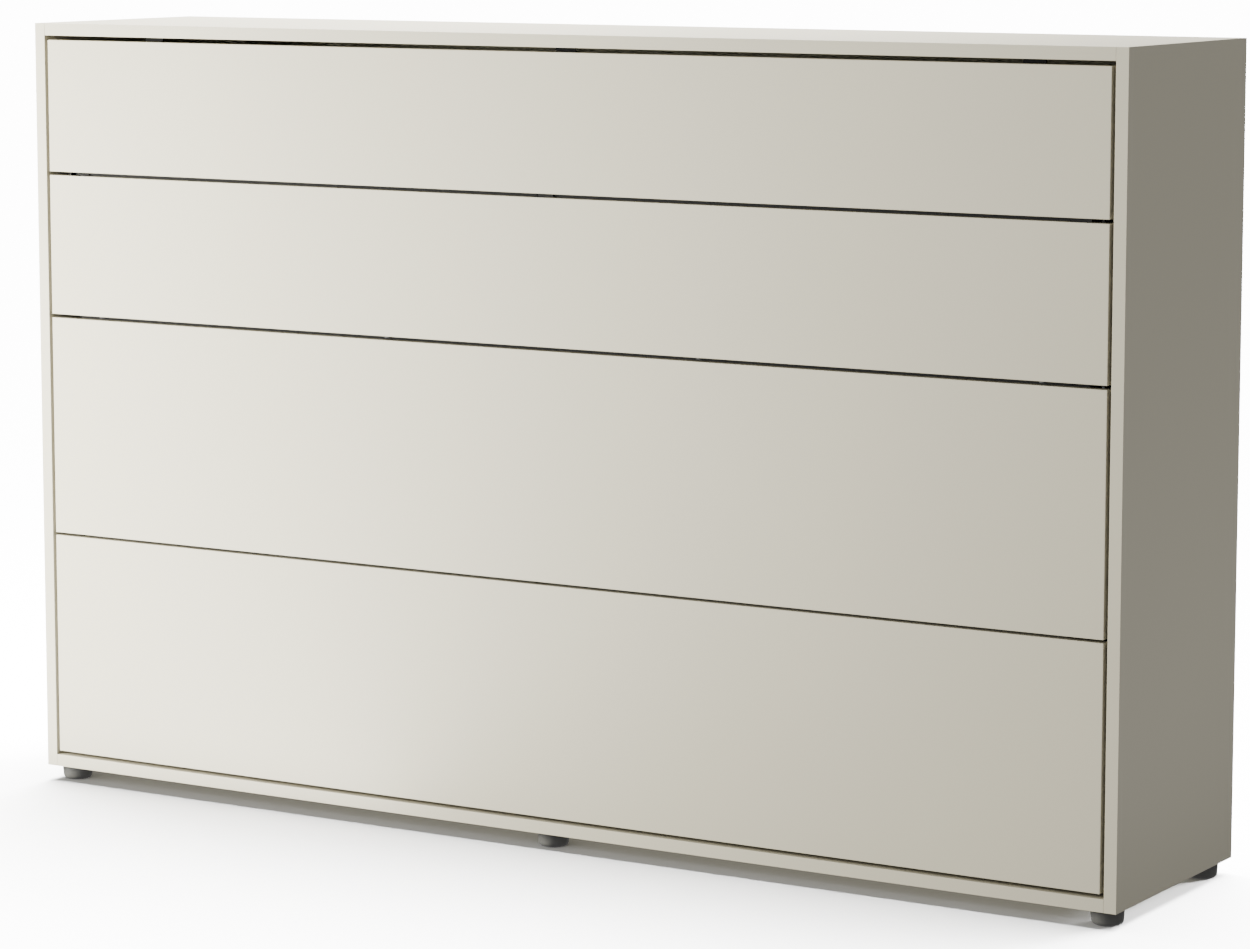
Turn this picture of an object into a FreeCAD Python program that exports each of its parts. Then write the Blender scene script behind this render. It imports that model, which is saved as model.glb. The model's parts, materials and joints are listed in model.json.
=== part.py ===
import math
import os

import FreeCAD
import Part

# A wall bed that folds down along its long side, closed. Millimetres. X runs along the bed,
# the front faces -Y, Z is up. The origin is on the floor under the middle of the cabinet.

# Cabinet
WIDTH = 2170.0
DEPTH = 460.0
HEIGHT = 1400.0
BOARD = 22.0
EDGE_RADIUS = 0.6
FOOT_HEIGHT = 28.0
FOOT_TOP_RADIUS = 28.0
FOOT_BOTTOM_RADIUS = 26.0
FOOT_EDGE_RADIUS = 8.0
FOOT_FROM_SIDE = 35.0
FOOT_FROM_FRONT = 44.0
FOOT_RECESS_RADIUS = 7.0
FOOT_RECESS_DEPTH = 20.0
UPPER_RAIL_HEIGHT = 150.0
LOWER_RAIL_HEIGHT = 100.0
WALL_HOLE_RADIUS = 4.0
WALL_HOLE_FROM_SIDE = 185.0
BACK_THICKNESS = 3.0
BACK_RECESS = 1.5
REBATE_WIDTH = 12.0
BACK_SEAM = 1.6
STRIP_WIDTH = 14.0
STRIP_FLANGE = 1.0
STRIP_WEB = 1.2
STRIP_CLEAR = 2.0
BACK_SCREW_SHARES = (-0.94, -0.7, -0.47, -0.14, 0.14, 0.47, 0.7, 0.94)

# Cabinet joints
DOWEL_RADIUS = 4.0
DOWEL_IN_FACE = 12.0
DOWEL_IN_EDGE = 18.0
CAM_RADIUS = 7.5
CAM_DEPTH = 14.6
CAM_FROM_JOINT = 34.0
CAM_BOLT_RADIUS = 3.0
CAM_BOLT_IN_FACE = 10.0
DOWEL_FROM_FOOT = 36.0
CAM_FROM_DOWEL = 50.0

# Front boards
FRONT_BOARD = 18.0
SIDE_GAP = 7.0
TOP_GAP = 8.0
BOTTOM_GAP = 7.5
FLAP_GAP = 6.5
FIXED_GAP = 5.0
TOP_FRONT_HEIGHT = 238.5
FLAP_HEIGHT = 254.0
MIDDLE_FRONT_HEIGHT = 397.25

# Bed frame
FRAME_GAP = 10.0
TUBE_WIDTH = 30.0
TUBE_DEPTH = 40.0
TUBE_WALL = 2.0
TUBE_CORNER = 2.5
CENTRE_TUBE_WIDTH = 40.0
FRAME_INSET_TOP = 35.0
FRAME_INSET_BOTTOM = 17.5
MECHANISM_SPACE = 48.0
PLUG_LENGTH = 40.0
CAP_LENGTH = 18.0
FRAME_BOLT_RADIUS = 4.0
FRAME_BOLT_GRIP = 34.0
HEX_RADIUS = 7.0
HEX_HEIGHT = 5.0
SPACER_RADIUS = 15.0
PANEL_SCREW_RADIUS = 2.5
PANEL_SCREW_BITE = 12.0
SCREW_ROW_INSET = 36.0
RAIL_SCREW_FROM_HOLDER = 17.0
CENTRE_SCREW_OFFSET = 18.0

# Slats and mattress bows
SLAT_WIDTH = 53.0
SLAT_THICKNESS = 8.0
SLAT_PITCH = 78.0
SLAT_FIRST = 62.0
SLAT_CAMBER = 8.0
SLAT_END_INSET = 11.0
HOLDER_WIDTH = 62.0
HOLDER_DEPTH = 17.0
HOLDER_MARGIN = 2.0
HOLDER_FLOOR = 3.6
HOLDER_PLAY = 1.0
BOW_RADIUS = 5.0
BOW_HEIGHT = 122.0
BOW_BEND = 28.0
BOW_FIRST_GAP = 4
BOW_GAPS = 2

# Bed pivot
PIVOT_SETBACK = 38.0
PIVOT_RADIUS = 8.0
COLLAR_EXTRA = 4.0
BUSH_WALL = 3.0
BUSH_FLANGE = 2.0
BUSH_FLANGE_EXTRA = 3.0
BEARING_PLATE = 8.0
BEARING_PLATE_HEIGHT = 100.0
BEARING_PLATE_FRONT = 8.0
PLATE_BOLT_REACH = 36.0
PLATE_BOLT_RADIUS = 3.0
PLATE_BOLT_LENGTH = 16.0
BRACKET_PLATE = 3.0
BRACKET_MARGIN = 24.0
BRACKET_TALL_MARGIN = 36.0
BRACKET_CORNER = 8.0

# Leg flap, its hinges and its links
HINGE_DROP = 10.5
HINGE_PIN_RADIUS = 2.5
HINGE_ARM_WIDTH = 8.0
HINGE_ARM_TIP = 4.3
HINGE_ARM_PLATE = 3.0
HINGE_ARM_ABOVE = 34.0
HINGE_ARM_BELOW = 40.0
HINGE_ARM_HALF = 14.0
HINGE_SCREW_ABOVE = 23.8
HINGE_SCREW_BELOW = 28.0
HINGE_BLOCK_HALF = 20.0
HINGE_BLOCK_DEPTH = 13.5
HINGE_BLOCK_BELOW = 16.0
HINGE_SLOT_CLEAR = 1.0
HINGE_WING = 2.0
HINGE_WING_HEIGHT = 30.0
WING_SCREW_OFFSET = 12.0
BUMPER_RADIUS = 8.0
BUMPER_ABOVE_EDGE = 22.0
GLIDE_HEIGHT = 3.0
GLIDE_RADIUS = 8.0
GLIDE_FROM_END = 113.0
GLIDE_SHARES = (-1.0, -1 / 3, 1 / 3, 1.0)
FLOOR_CLEARANCE = 0.5
LINK_OFFSET = 40.0
LINK_WIDTH = 20.0
LINK_THICKNESS = 4.0
LINK_PIN_RADIUS = 5.0
LINK_GAP = 2.0
RIVET_HEAD = 1.2
RIVET_EXTRA = 2.5
HORN_GAP = 1.0
HORN_THICKNESS = 4.0
HORN_FOOT = 3.0
HORN_FOOT_LENGTH = 20.0
HORN_LOW = 75.0
HORN_HIGH = 22.0
HORN_ROOT = 15.0
HORN_EYE_RADIUS = 11.0
HORN_NECK_LONG = 9.9
HORN_NECK_SHORT = 4.4
HORN_SCREW_SHARES = (0.25, 0.75)

# Gas springs
STRUT_BACK = 252.0
STRUT_RISE = 368.0
STRUT_ARM = 180.0
STRUT_RADIUS = 11.0
STRUT_WALL = 2.0
STRUT_EYE_RADIUS = 11.0
STRUT_EYE_WIDTH = 12.0
STRUT_NECK_RADIUS = 6.0
STRUT_NECK = 28.0
STRUT_GUIDE = 12.0
STRUT_LENGTH = 350.0
ROD_RADIUS = 5.0
PISTON_AT = 300.0
PISTON_LENGTH = 16.0
SOCKET_RADIUS = 9.0
SOCKET_WIDTH = 18.0
SOCKET_NECK = 15.0
STUD_PLATE = 6.0
STUD_PLATE_ABOVE = 54.0
STUD_BOLTS_ABOVE = (22.68, 43.2)
STUD_SHORT = 0.5
STRUT_PLATE_HALF = 30.0
STRUT_PLATE_CORNER = 7.5
STRUT_SCREW_OFFSET = 19.8

# Closing stops and the stems of all the rubber pieces
STOP_FLANGE = 40.0
STOP_WIDTH = 40.0
STOP_PLATE = 3.0
STOP_CLEAR = 3.0
STOP_SCREW_BACK = 28.0
BUFFER_RADIUS = 6.5
BUFFER_STEM_RADIUS = 3.0

# Small screws
SCREW_RADIUS = 2.0
SCREW_HEAD_RADIUS = 4.0
SCREW_HEAD = 2.2
SCREW_LENGTH = 15.0
FOOT_SCREW_LENGTH = 22.0
FOOT_SCREW_HEAD = 5.0
BACK_SCREW_RADIUS = 1.5
BACK_SCREW_HEAD = 3.5

# Clearances; cutting tools run past the faces they leave, and blind bores past their screws
CUT_PAST = 1.0
RUNNING_FIT = 0.05
SNUG_FIT = 0.1
LOOSE_FIT = 0.3

# Places that several pieces share
half_width = WIDTH / 2
inner_half = half_width - BOARD
front_y = -DEPTH / 2
rear_y = DEPTH / 2
bay_floor = FOOT_HEIGHT + BOARD
bay_roof = HEIGHT - BOARD
back_outer_y = rear_y - BACK_RECESS
back_inner_y = back_outer_y - BACK_THICKNESS
rear_rail_y = back_inner_y - BOARD
foot_x = half_width - FOOT_FROM_SIDE
foot_y = rear_y - FOOT_FROM_FRONT
dowel_row = foot_y - DOWEL_FROM_FOOT
cam_row = dowel_row - CAM_FROM_DOWEL
wall_hole_x = half_width - WALL_HOLE_FROM_SIDE
upper_hole_z = bay_roof - UPPER_RAIL_HEIGHT / 2
lower_hole_z = bay_floor + LOWER_RAIL_HEIGHT / 2
seam_x = half_width / 3

front_rear_y = front_y + FRONT_BOARD
front_half = inner_half - SIDE_GAP
front_low = bay_floor + BOTTOM_GAP
front_high = bay_roof - TOP_GAP
top_front_low = front_high - TOP_FRONT_HEIGHT
flap_high = top_front_low - FLAP_GAP
flap_low = flap_high - FLAP_HEIGHT
middle_high = flap_low - FLAP_GAP
middle_low = middle_high - MIDDLE_FRONT_HEIGHT
bottom_high = middle_low - FIXED_GAP

frame_y = front_rear_y + FRAME_GAP
frame_rear_y = frame_y + TUBE_DEPTH
frame_mid_y = frame_y + TUBE_DEPTH / 2
frame_half = inner_half - MECHANISM_SPACE
upright_x = frame_half - TUBE_WIDTH / 2
bottom_rail_low = front_low + FRAME_INSET_BOTTOM
bottom_rail_high = bottom_rail_low + TUBE_WIDTH
top_rail_high = front_high - FRAME_INSET_TOP
top_rail_low = top_rail_high - TUBE_WIDTH
mid_rail_z = (middle_low + bottom_high) / 2
mid_rail_y = (front_rear_y + frame_rear_y) / 2
flap_rail_rows = ((top_front_low + flap_high) / 2, (flap_low + middle_high) / 2)
slat_room = upright_x - TUBE_WIDTH / 2 - RAIL_SCREW_FROM_HOLDER - SPACER_RADIUS - HOLDER_WIDTH / 2
slat_count = int((slat_room - SLAT_FIRST) / SLAT_PITCH) + 1
last_slat_x = SLAT_FIRST + SLAT_PITCH * (slat_count - 1)
rail_screw_x = last_slat_x + HOLDER_WIDTH / 2 + RAIL_SCREW_FROM_HOLDER
stop_x = last_slat_x - SLAT_PITCH / 2
stop_y = frame_rear_y + HOLDER_DEPTH + STOP_CLEAR

pivot_y = front_y + PIVOT_SETBACK
hinge_y = front_y + FRONT_BOARD / 2
hinge_z = flap_high - HINGE_DROP
pivot_z = (hinge_z - flap_low) + GLIDE_HEIGHT + FLOOR_CLEARANCE + (pivot_y - hinge_y)
link_low = (pivot_y + LINK_OFFSET, pivot_z + LINK_OFFSET)
link_high = (hinge_y + LINK_OFFSET, hinge_z + LINK_OFFSET)
strut_top = (pivot_y + STRUT_BACK, pivot_z + STRUT_RISE)
strut_foot = (pivot_y, pivot_z - STRUT_ARM)
strut_foot_open = (pivot_y + STRUT_ARM, pivot_z)
strut_long = math.dist(strut_top, strut_foot)
strut_short = math.dist(strut_top, strut_foot_open)
strut_swing = (math.atan2(strut_top[0] - strut_foot[0], strut_top[1] - strut_foot[1])
               - math.atan2(strut_top[0] - strut_foot_open[0], strut_top[1] - strut_foot_open[1]))
strut_line = ((strut_foot[0] - strut_top[0]) / strut_long, (strut_foot[1] - strut_top[1]) / strut_long)

bearing_x = frame_half + BEARING_PLATE
link_x = bearing_x + LINK_GAP
horn_x = link_x + LINK_THICKNESS + HORN_GAP
bracket_x = inner_half - BRACKET_PLATE
strut_x = (link_x + LINK_THICKNESS + bracket_x) / 2
rivet_x = link_x - LOOSE_FIT

SIDES = (-1, 1)
UPRIGHTS = ((-upright_x, TUBE_WIDTH), (0.0, CENTRE_TUBE_WIDTH), (upright_x, TUBE_WIDTH))


def vec(x, y, z):
    return FreeCAD.Vector(x, y, z)


def box(x0, x1, y0, y1, z0, z1):
    """A block between two corners, whose limits may come in either order."""
    corner = vec(min(x0, x1), min(y0, y1), min(z0, z1))
    return Part.makeBox(abs(x1 - x0), abs(y1 - y0), abs(z1 - z0), corner)


def board(x0, x1, y0, y1, z0, z1):
    """A board with all its edges eased."""
    block = box(x0, x1, y0, y1, z0, z1)
    return block.makeFillet(EDGE_RADIUS, block.Edges)


def rod_x(x0, x1, y, z, radius):
    return Part.makeCylinder(radius, abs(x1 - x0), vec(min(x0, x1), y, z), vec(1, 0, 0))


def rod_y(x, y0, y1, z, radius):
    return Part.makeCylinder(radius, abs(y1 - y0), vec(x, min(y0, y1), z), vec(0, 1, 0))


def rod_z(x, y, z0, z1, radius):
    return Part.makeCylinder(radius, abs(z1 - z0), vec(x, y, min(z0, z1)), vec(0, 0, 1))


def hollow(outer, x_wall, y_wall, z_wall):
    """A tube with rounded corners: the block less an inner block, open along the axis whose wall is 0."""
    bounds = outer.BoundBox
    inner = box(bounds.XMin + x_wall, bounds.XMax - x_wall, bounds.YMin + y_wall,
                bounds.YMax - y_wall, bounds.ZMin + z_wall, bounds.ZMax - z_wall)
    span = max(bounds.XLength, bounds.YLength, bounds.ZLength)
    long_edges = [e for e in outer.Edges if e.Length > span / 2]
    return outer.makeFillet(TUBE_CORNER, long_edges).cut(inner)


def join(shapes):
    return shapes[0].fuse(shapes[1:]).removeSplitter()


def less(shape, tools):
    return shape.cut(tools) if tools else shape


def prism_x(points, x0, x1):
    """A flat outline of (y, z) points, thick from x0 to x1."""
    start = min(x0, x1)
    loop = [vec(start, y, z) for y, z in points]
    face = Part.Face(Part.makePolygon(loop + loop[:1]))
    return face.extrude(vec(abs(x1 - x0), 0, 0))


def round_bar_x(first, second, radius, x0, x1):
    """A flat bar with round ends about two (y, z) centres."""
    length = math.dist(first, second)
    along = ((second[0] - first[0]) / length, (second[1] - first[1]) / length)
    across = (-along[1] * radius, along[0] * radius)
    corners = [(end[0] + way * across[0], end[1] + way * across[1])
               for end, way in ((first, 1), (second, 1), (second, -1), (first, -1))]
    ends = [rod_x(x0, x1, y, z, radius) for y, z in (first, second)]
    return join([prism_x(corners, x0, x1)] + ends)


def hex_bolt_x(face_x, sign, y, z, radius, length):
    """A bolt that enters a face at face_x; its head stands out along sign."""
    turns = [math.radians(60 * i) for i in range(6)]
    points = [(y + HEX_RADIUS * math.cos(turn), z + HEX_RADIUS * math.sin(turn)) for turn in turns]
    head = prism_x(points, face_x, face_x + sign * HEX_HEIGHT)
    return join([head, rod_x(face_x, face_x - sign * length, y, z, radius)])


def hex_bolt_z(x, y, face_z, sign, radius, length):
    bolt = hex_bolt_x(0, 1, 0, 0, radius, length)
    bolt.rotate(vec(0, 0, 0), vec(0, 1, 0), -90 * sign)
    bolt.translate(vec(x, y, face_z))
    return bolt


def pan_screw_y(x, face_y, sign, z, radius, head_radius, head, length):
    """A round-headed screw whose head stands out of face_y along sign."""
    cap = rod_y(x, face_y, face_y + sign * head, z, head_radius)
    return join([cap, rod_y(x, face_y, face_y - sign * length, z, radius)])


def flush_screw_x(face_x, sign, y, z):
    """A countersunk screw, flush in a face at face_x, that runs along sign."""
    head = Part.makeCone(SCREW_HEAD_RADIUS, SCREW_RADIUS, SCREW_HEAD, vec(face_x, y, z), vec(sign, 0, 0))
    return join([head, rod_x(face_x, face_x + sign * SCREW_LENGTH, y, z, SCREW_RADIUS)])


def flush_hole_x(face_x, sign, y, z):
    sink = Part.makeCone(SCREW_HEAD_RADIUS + SNUG_FIT, SCREW_RADIUS + SNUG_FIT, SCREW_HEAD,
                         vec(face_x, y, z), vec(sign, 0, 0))
    end = face_x + sign * (SCREW_LENGTH + CUT_PAST)
    return join([sink, rod_x(face_x, end, y, z, SCREW_RADIUS + SNUG_FIT)])


def joint_places():
    """Each cabinet joint: where the dowels and cams lie, the axis and the way into the face."""
    places = []
    for sign in SIDES:
        cam_x = sign * (inner_half - CAM_FROM_JOINT)
        for under_z in (FOOT_HEIGHT, bay_roof):
            middle_z = under_z + BOARD / 2
            panel = {"axis": vec(sign, 0, 0), "cam_axis": vec(0, 0, 1)}
            panel["dowels"] = [vec(sign * inner_half, y, middle_z) for y in (-dowel_row, 0, dowel_row)]
            panel["cams"] = [(vec(cam_x, y, under_z), vec(sign * inner_half, y, middle_z))
                             for y in (-cam_row, cam_row)]
            places.append(panel)
        rail_y = rear_rail_y + BOARD / 2
        rails = {"axis": vec(sign, 0, 0), "cam_axis": vec(0, 1, 0), "dowels": [], "cams": []}
        for z, height in ((upper_hole_z, UPPER_RAIL_HEIGHT), (lower_hole_z, LOWER_RAIL_HEIGHT)):
            rails["dowels"].append(vec(sign * inner_half, rail_y, z + height / 4))
            rails["cams"].append((vec(cam_x, rear_rail_y, z - height / 4),
                                  vec(sign * inner_half, rail_y, z - height / 4)))
        places.append(rails)
    return places


def joint_pieces(slack):
    """Dowels, cam locks and cam bolts, or, with slack, the bores that they sit in."""
    dowels, cams, bolts = [], [], []
    for place in joint_places():
        axis = place["axis"]
        cam_axis = place["cam_axis"]
        for point in place["dowels"]:
            start = point - axis * (DOWEL_IN_EDGE + slack)
            dowels.append(Part.makeCylinder(DOWEL_RADIUS + slack, DOWEL_IN_EDGE + DOWEL_IN_FACE + 2 * slack,
                                            start, axis))
        for cam, joint in place["cams"]:
            start = joint - axis * (CAM_FROM_JOINT + slack)
            bolt = Part.makeCylinder(CAM_BOLT_RADIUS + slack, CAM_FROM_JOINT + CAM_BOLT_IN_FACE + 2 * slack,
                                     start, axis)
            lock = Part.makeCylinder(CAM_RADIUS + slack, CAM_DEPTH + slack, cam, cam_axis)
            if slack == 0:
                grip = Part.makeCylinder(CAM_BOLT_RADIUS + SNUG_FIT, CAM_FROM_JOINT + CUT_PAST,
                                         start - axis * CUT_PAST, axis)
                lock = lock.cut(grip)
            cams.append(lock)
            bolts.append(bolt)
    return dowels, cams, bolts


def back_screw_places():
    """(x, z) of the screws that hold the back panels to the rails and the sides."""
    along = [inner_half * share for share in BACK_SCREW_SHARES]
    rows = (upper_hole_z - UPPER_RAIL_HEIGHT / 3, lower_hole_z - LOWER_RAIL_HEIGHT / 4)
    places = [(x, z) for x in along for z in rows]
    edge = inner_half + REBATE_WIDTH / 2
    step = (bay_roof - bay_floor) / 4
    places += [(sign * edge, bay_floor + step * i) for sign in SIDES for i in (1, 2, 3)]
    return places


def foot_places():
    return [(x, y) for x in (-foot_x, 0.0, foot_x) for y in (-foot_y, foot_y)]


def stop_places():
    return (-stop_x, 0.0, stop_x)


def stop_screw_places():
    y = stop_y + STOP_SCREW_BACK
    return [(x + dx, y) for x in stop_places() for dx in (-STOP_WIDTH / 4, STOP_WIDTH / 4)]


def pivot_screw_places():
    """(y, z) of the screws in each pivot bracket, about the bed pivot and the link pivot."""
    low_y = pivot_y - BRACKET_MARGIN / 2
    high_y = link_low[0] + BRACKET_MARGIN / 2
    low_z = pivot_z - BRACKET_MARGIN
    high_z = link_low[1] + BRACKET_MARGIN
    return ((low_y, low_z), (high_y, low_z), (low_y, high_z), (high_y, high_z))


def strut_screw_places():
    offsets = (-STRUT_SCREW_OFFSET, STRUT_SCREW_OFFSET)
    return [(strut_top[0] + dy, strut_top[1] + dz) for dy in offsets for dz in offsets]


def cabinet_nodes():
    dowel_bores, cam_bores, bolt_bores = joint_pieces(SNUG_FIT)
    bores = dowel_bores + cam_bores + bolt_bores
    back_holes = [rod_y(x, back_inner_y - SCREW_LENGTH, rear_y, z, BACK_SCREW_RADIUS + SNUG_FIT)
                  for x, z in back_screw_places()]
    wall_holes = [rod_y(sign * wall_hole_x, rear_rail_y - CUT_PAST, rear_y, z, WALL_HOLE_RADIUS)
                  for sign in SIDES for z in (upper_hole_z, lower_hole_z)]
    rebate = box(-inner_half - REBATE_WIDTH, inner_half + REBATE_WIDTH, back_inner_y, rear_y + CUT_PAST,
                 bay_floor - REBATE_WIDTH, bay_roof + REBATE_WIDTH)
    nodes = {}

    top = board(-inner_half, inner_half, front_y, rear_y, bay_roof, HEIGHT)
    stop_bite = bay_roof + SCREW_LENGTH - STOP_PLATE + CUT_PAST
    stop_bores = [rod_z(x, y, bay_roof - CUT_PAST, stop_bite, SCREW_RADIUS + SNUG_FIT)
                  for x, y in stop_screw_places()]
    nodes["top_panel"] = less(top, [rebate] + bores + stop_bores)
    floor = board(-inner_half, inner_half, front_y, rear_y, FOOT_HEIGHT, bay_floor)
    foot_bite = FOOT_RECESS_DEPTH + FOOT_SCREW_LENGTH + CUT_PAST
    foot_bores = [rod_z(x, y, FOOT_HEIGHT - CUT_PAST, foot_bite, SCREW_RADIUS + SNUG_FIT)
                  for x, y in foot_places()]
    nodes["bottom_panel"] = less(floor, [rebate] + bores + foot_bores)
    for name, sign in (("left_side_panel", -1), ("right_side_panel", 1)):
        side = board(sign * inner_half, sign * half_width, front_y, rear_y, FOOT_HEIGHT, HEIGHT)
        screws = [flush_hole_x(sign * bracket_x, sign, y, z)
                  for y, z in list(pivot_screw_places()) + strut_screw_places()]
        nodes[name] = less(side, [rebate] + bores + back_holes + screws)
    upper = board(-inner_half, inner_half, rear_rail_y, back_inner_y, bay_roof - UPPER_RAIL_HEIGHT,
                  bay_roof)
    nodes["upper_rear_rail"] = less(upper, bores + back_holes + wall_holes)
    lower = board(-inner_half, inner_half, rear_rail_y, back_inner_y, bay_floor,
                  bay_floor + LOWER_RAIL_HEIGHT)
    nodes["lower_rear_rail"] = less(lower, bores + back_holes + wall_holes)

    reach = inner_half + REBATE_WIDTH - 2 * SNUG_FIT
    low = bay_floor - REBATE_WIDTH + 2 * SNUG_FIT
    high = bay_roof + REBATE_WIDTH - 2 * SNUG_FIT
    seams = [-reach - BACK_SEAM / 2, -seam_x, seam_x, reach + BACK_SEAM / 2]
    backs = [box(x0 + BACK_SEAM / 2, x1 - BACK_SEAM / 2, back_inner_y, back_outer_y, low, high)
             for x0, x1 in zip(seams, seams[1:])]
    nodes["back_panels"] = Part.makeCompound([less(b, back_holes + wall_holes) for b in backs])
    strip_low = bay_floor + LOWER_RAIL_HEIGHT + STRIP_CLEAR
    strip_high = bay_roof - UPPER_RAIL_HEIGHT - STRIP_CLEAR
    strips = []
    for x in (-seam_x, seam_x):
        inner = box(x - STRIP_WIDTH / 2, x + STRIP_WIDTH / 2, back_inner_y - STRIP_FLANGE, back_inner_y,
                    strip_low, strip_high)
        web = box(x - STRIP_WEB / 2, x + STRIP_WEB / 2, back_inner_y, back_outer_y, strip_low, strip_high)
        outer = box(x - STRIP_WIDTH / 2, x + STRIP_WIDTH / 2, back_outer_y, back_outer_y + STRIP_FLANGE,
                    strip_low, strip_high)
        strips.append(join([inner, web, outer]))
    nodes["back_joint_strips"] = Part.makeCompound(strips)
    nodes["back_panel_screws"] = Part.makeCompound([
        pan_screw_y(x, back_outer_y, 1, z, BACK_SCREW_RADIUS, BACK_SCREW_HEAD, BACK_RECESS,
                    BACK_THICKNESS + SCREW_LENGTH - CUT_PAST) for x, z in back_screw_places()])

    dowels, cams, bolts = joint_pieces(0)
    nodes["carcass_dowels"] = Part.makeCompound(dowels)
    nodes["cam_locks"] = Part.makeCompound(cams)
    nodes["cam_bolts"] = Part.makeCompound(bolts)
    return nodes


def foot_nodes():
    """Round tapered feet, each held by a screw that sits deep in a recess."""
    feet, screws = [], []
    for x, y in foot_places():
        cone = Part.makeCone(FOOT_BOTTOM_RADIUS, FOOT_TOP_RADIUS, FOOT_HEIGHT, vec(x, y, 0))
        low = [e for e in cone.Edges if e.BoundBox.ZMax < FOOT_HEIGHT / 2]
        rim = [e for e in low if e.BoundBox.XLength > FOOT_TOP_RADIUS]
        cone = cone.makeFillet(FOOT_EDGE_RADIUS, rim)
        recess = rod_z(x, y, -CUT_PAST, FOOT_RECESS_DEPTH, FOOT_RECESS_RADIUS)
        feet.append(cone.cut([recess, rod_z(x, y, 0, FOOT_HEIGHT + CUT_PAST, SCREW_RADIUS + SNUG_FIT)]))
        head = rod_z(x, y, FOOT_RECESS_DEPTH - SCREW_HEAD, FOOT_RECESS_DEPTH, FOOT_SCREW_HEAD)
        shank = rod_z(x, y, FOOT_RECESS_DEPTH, FOOT_RECESS_DEPTH + FOOT_SCREW_LENGTH, SCREW_RADIUS)
        screws.append(join([head, shank]))
    return {"feet": Part.makeCompound(feet), "foot_screws": Part.makeCompound(screws)}


def stop_nodes():
    """Angle brackets under the top panel, with rubber buffers that the bed's top rail closes against."""
    stops, buffers = [], []
    leg_low = top_rail_low + HOLDER_MARGIN
    leg_rear = stop_y + STOP_PLATE
    buffer_z = (top_rail_low + top_rail_high) / 2
    for x in stop_places():
        x0 = x - STOP_WIDTH / 2
        x1 = x + STOP_WIDTH / 2
        leg = box(x0, x1, stop_y, leg_rear, leg_low, bay_roof)
        flange = box(x0, x1, stop_y, stop_y + STOP_FLANGE, bay_roof - STOP_PLATE, bay_roof)
        hole = rod_y(x, stop_y - CUT_PAST, leg_rear + CUT_PAST, buffer_z, BUFFER_STEM_RADIUS + SNUG_FIT)
        under = bay_roof - STOP_PLATE - CUT_PAST
        screw_holes = [rod_z(sx, sy, under, bay_roof + CUT_PAST, SCREW_RADIUS + SNUG_FIT)
                       for sx, sy in stop_screw_places()]
        stops.append(join([leg, flange]).cut([hole] + screw_holes))
        pad = rod_y(x, frame_rear_y + LOOSE_FIT, stop_y, buffer_z, BUFFER_RADIUS)
        stem = rod_y(x, stop_y, leg_rear + CUT_PAST, buffer_z, BUFFER_STEM_RADIUS)
        buffers.append(join([pad, stem]))
    return {"closing_stops": Part.makeCompound(stops), "stop_buffers": Part.makeCompound(buffers)}


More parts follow.
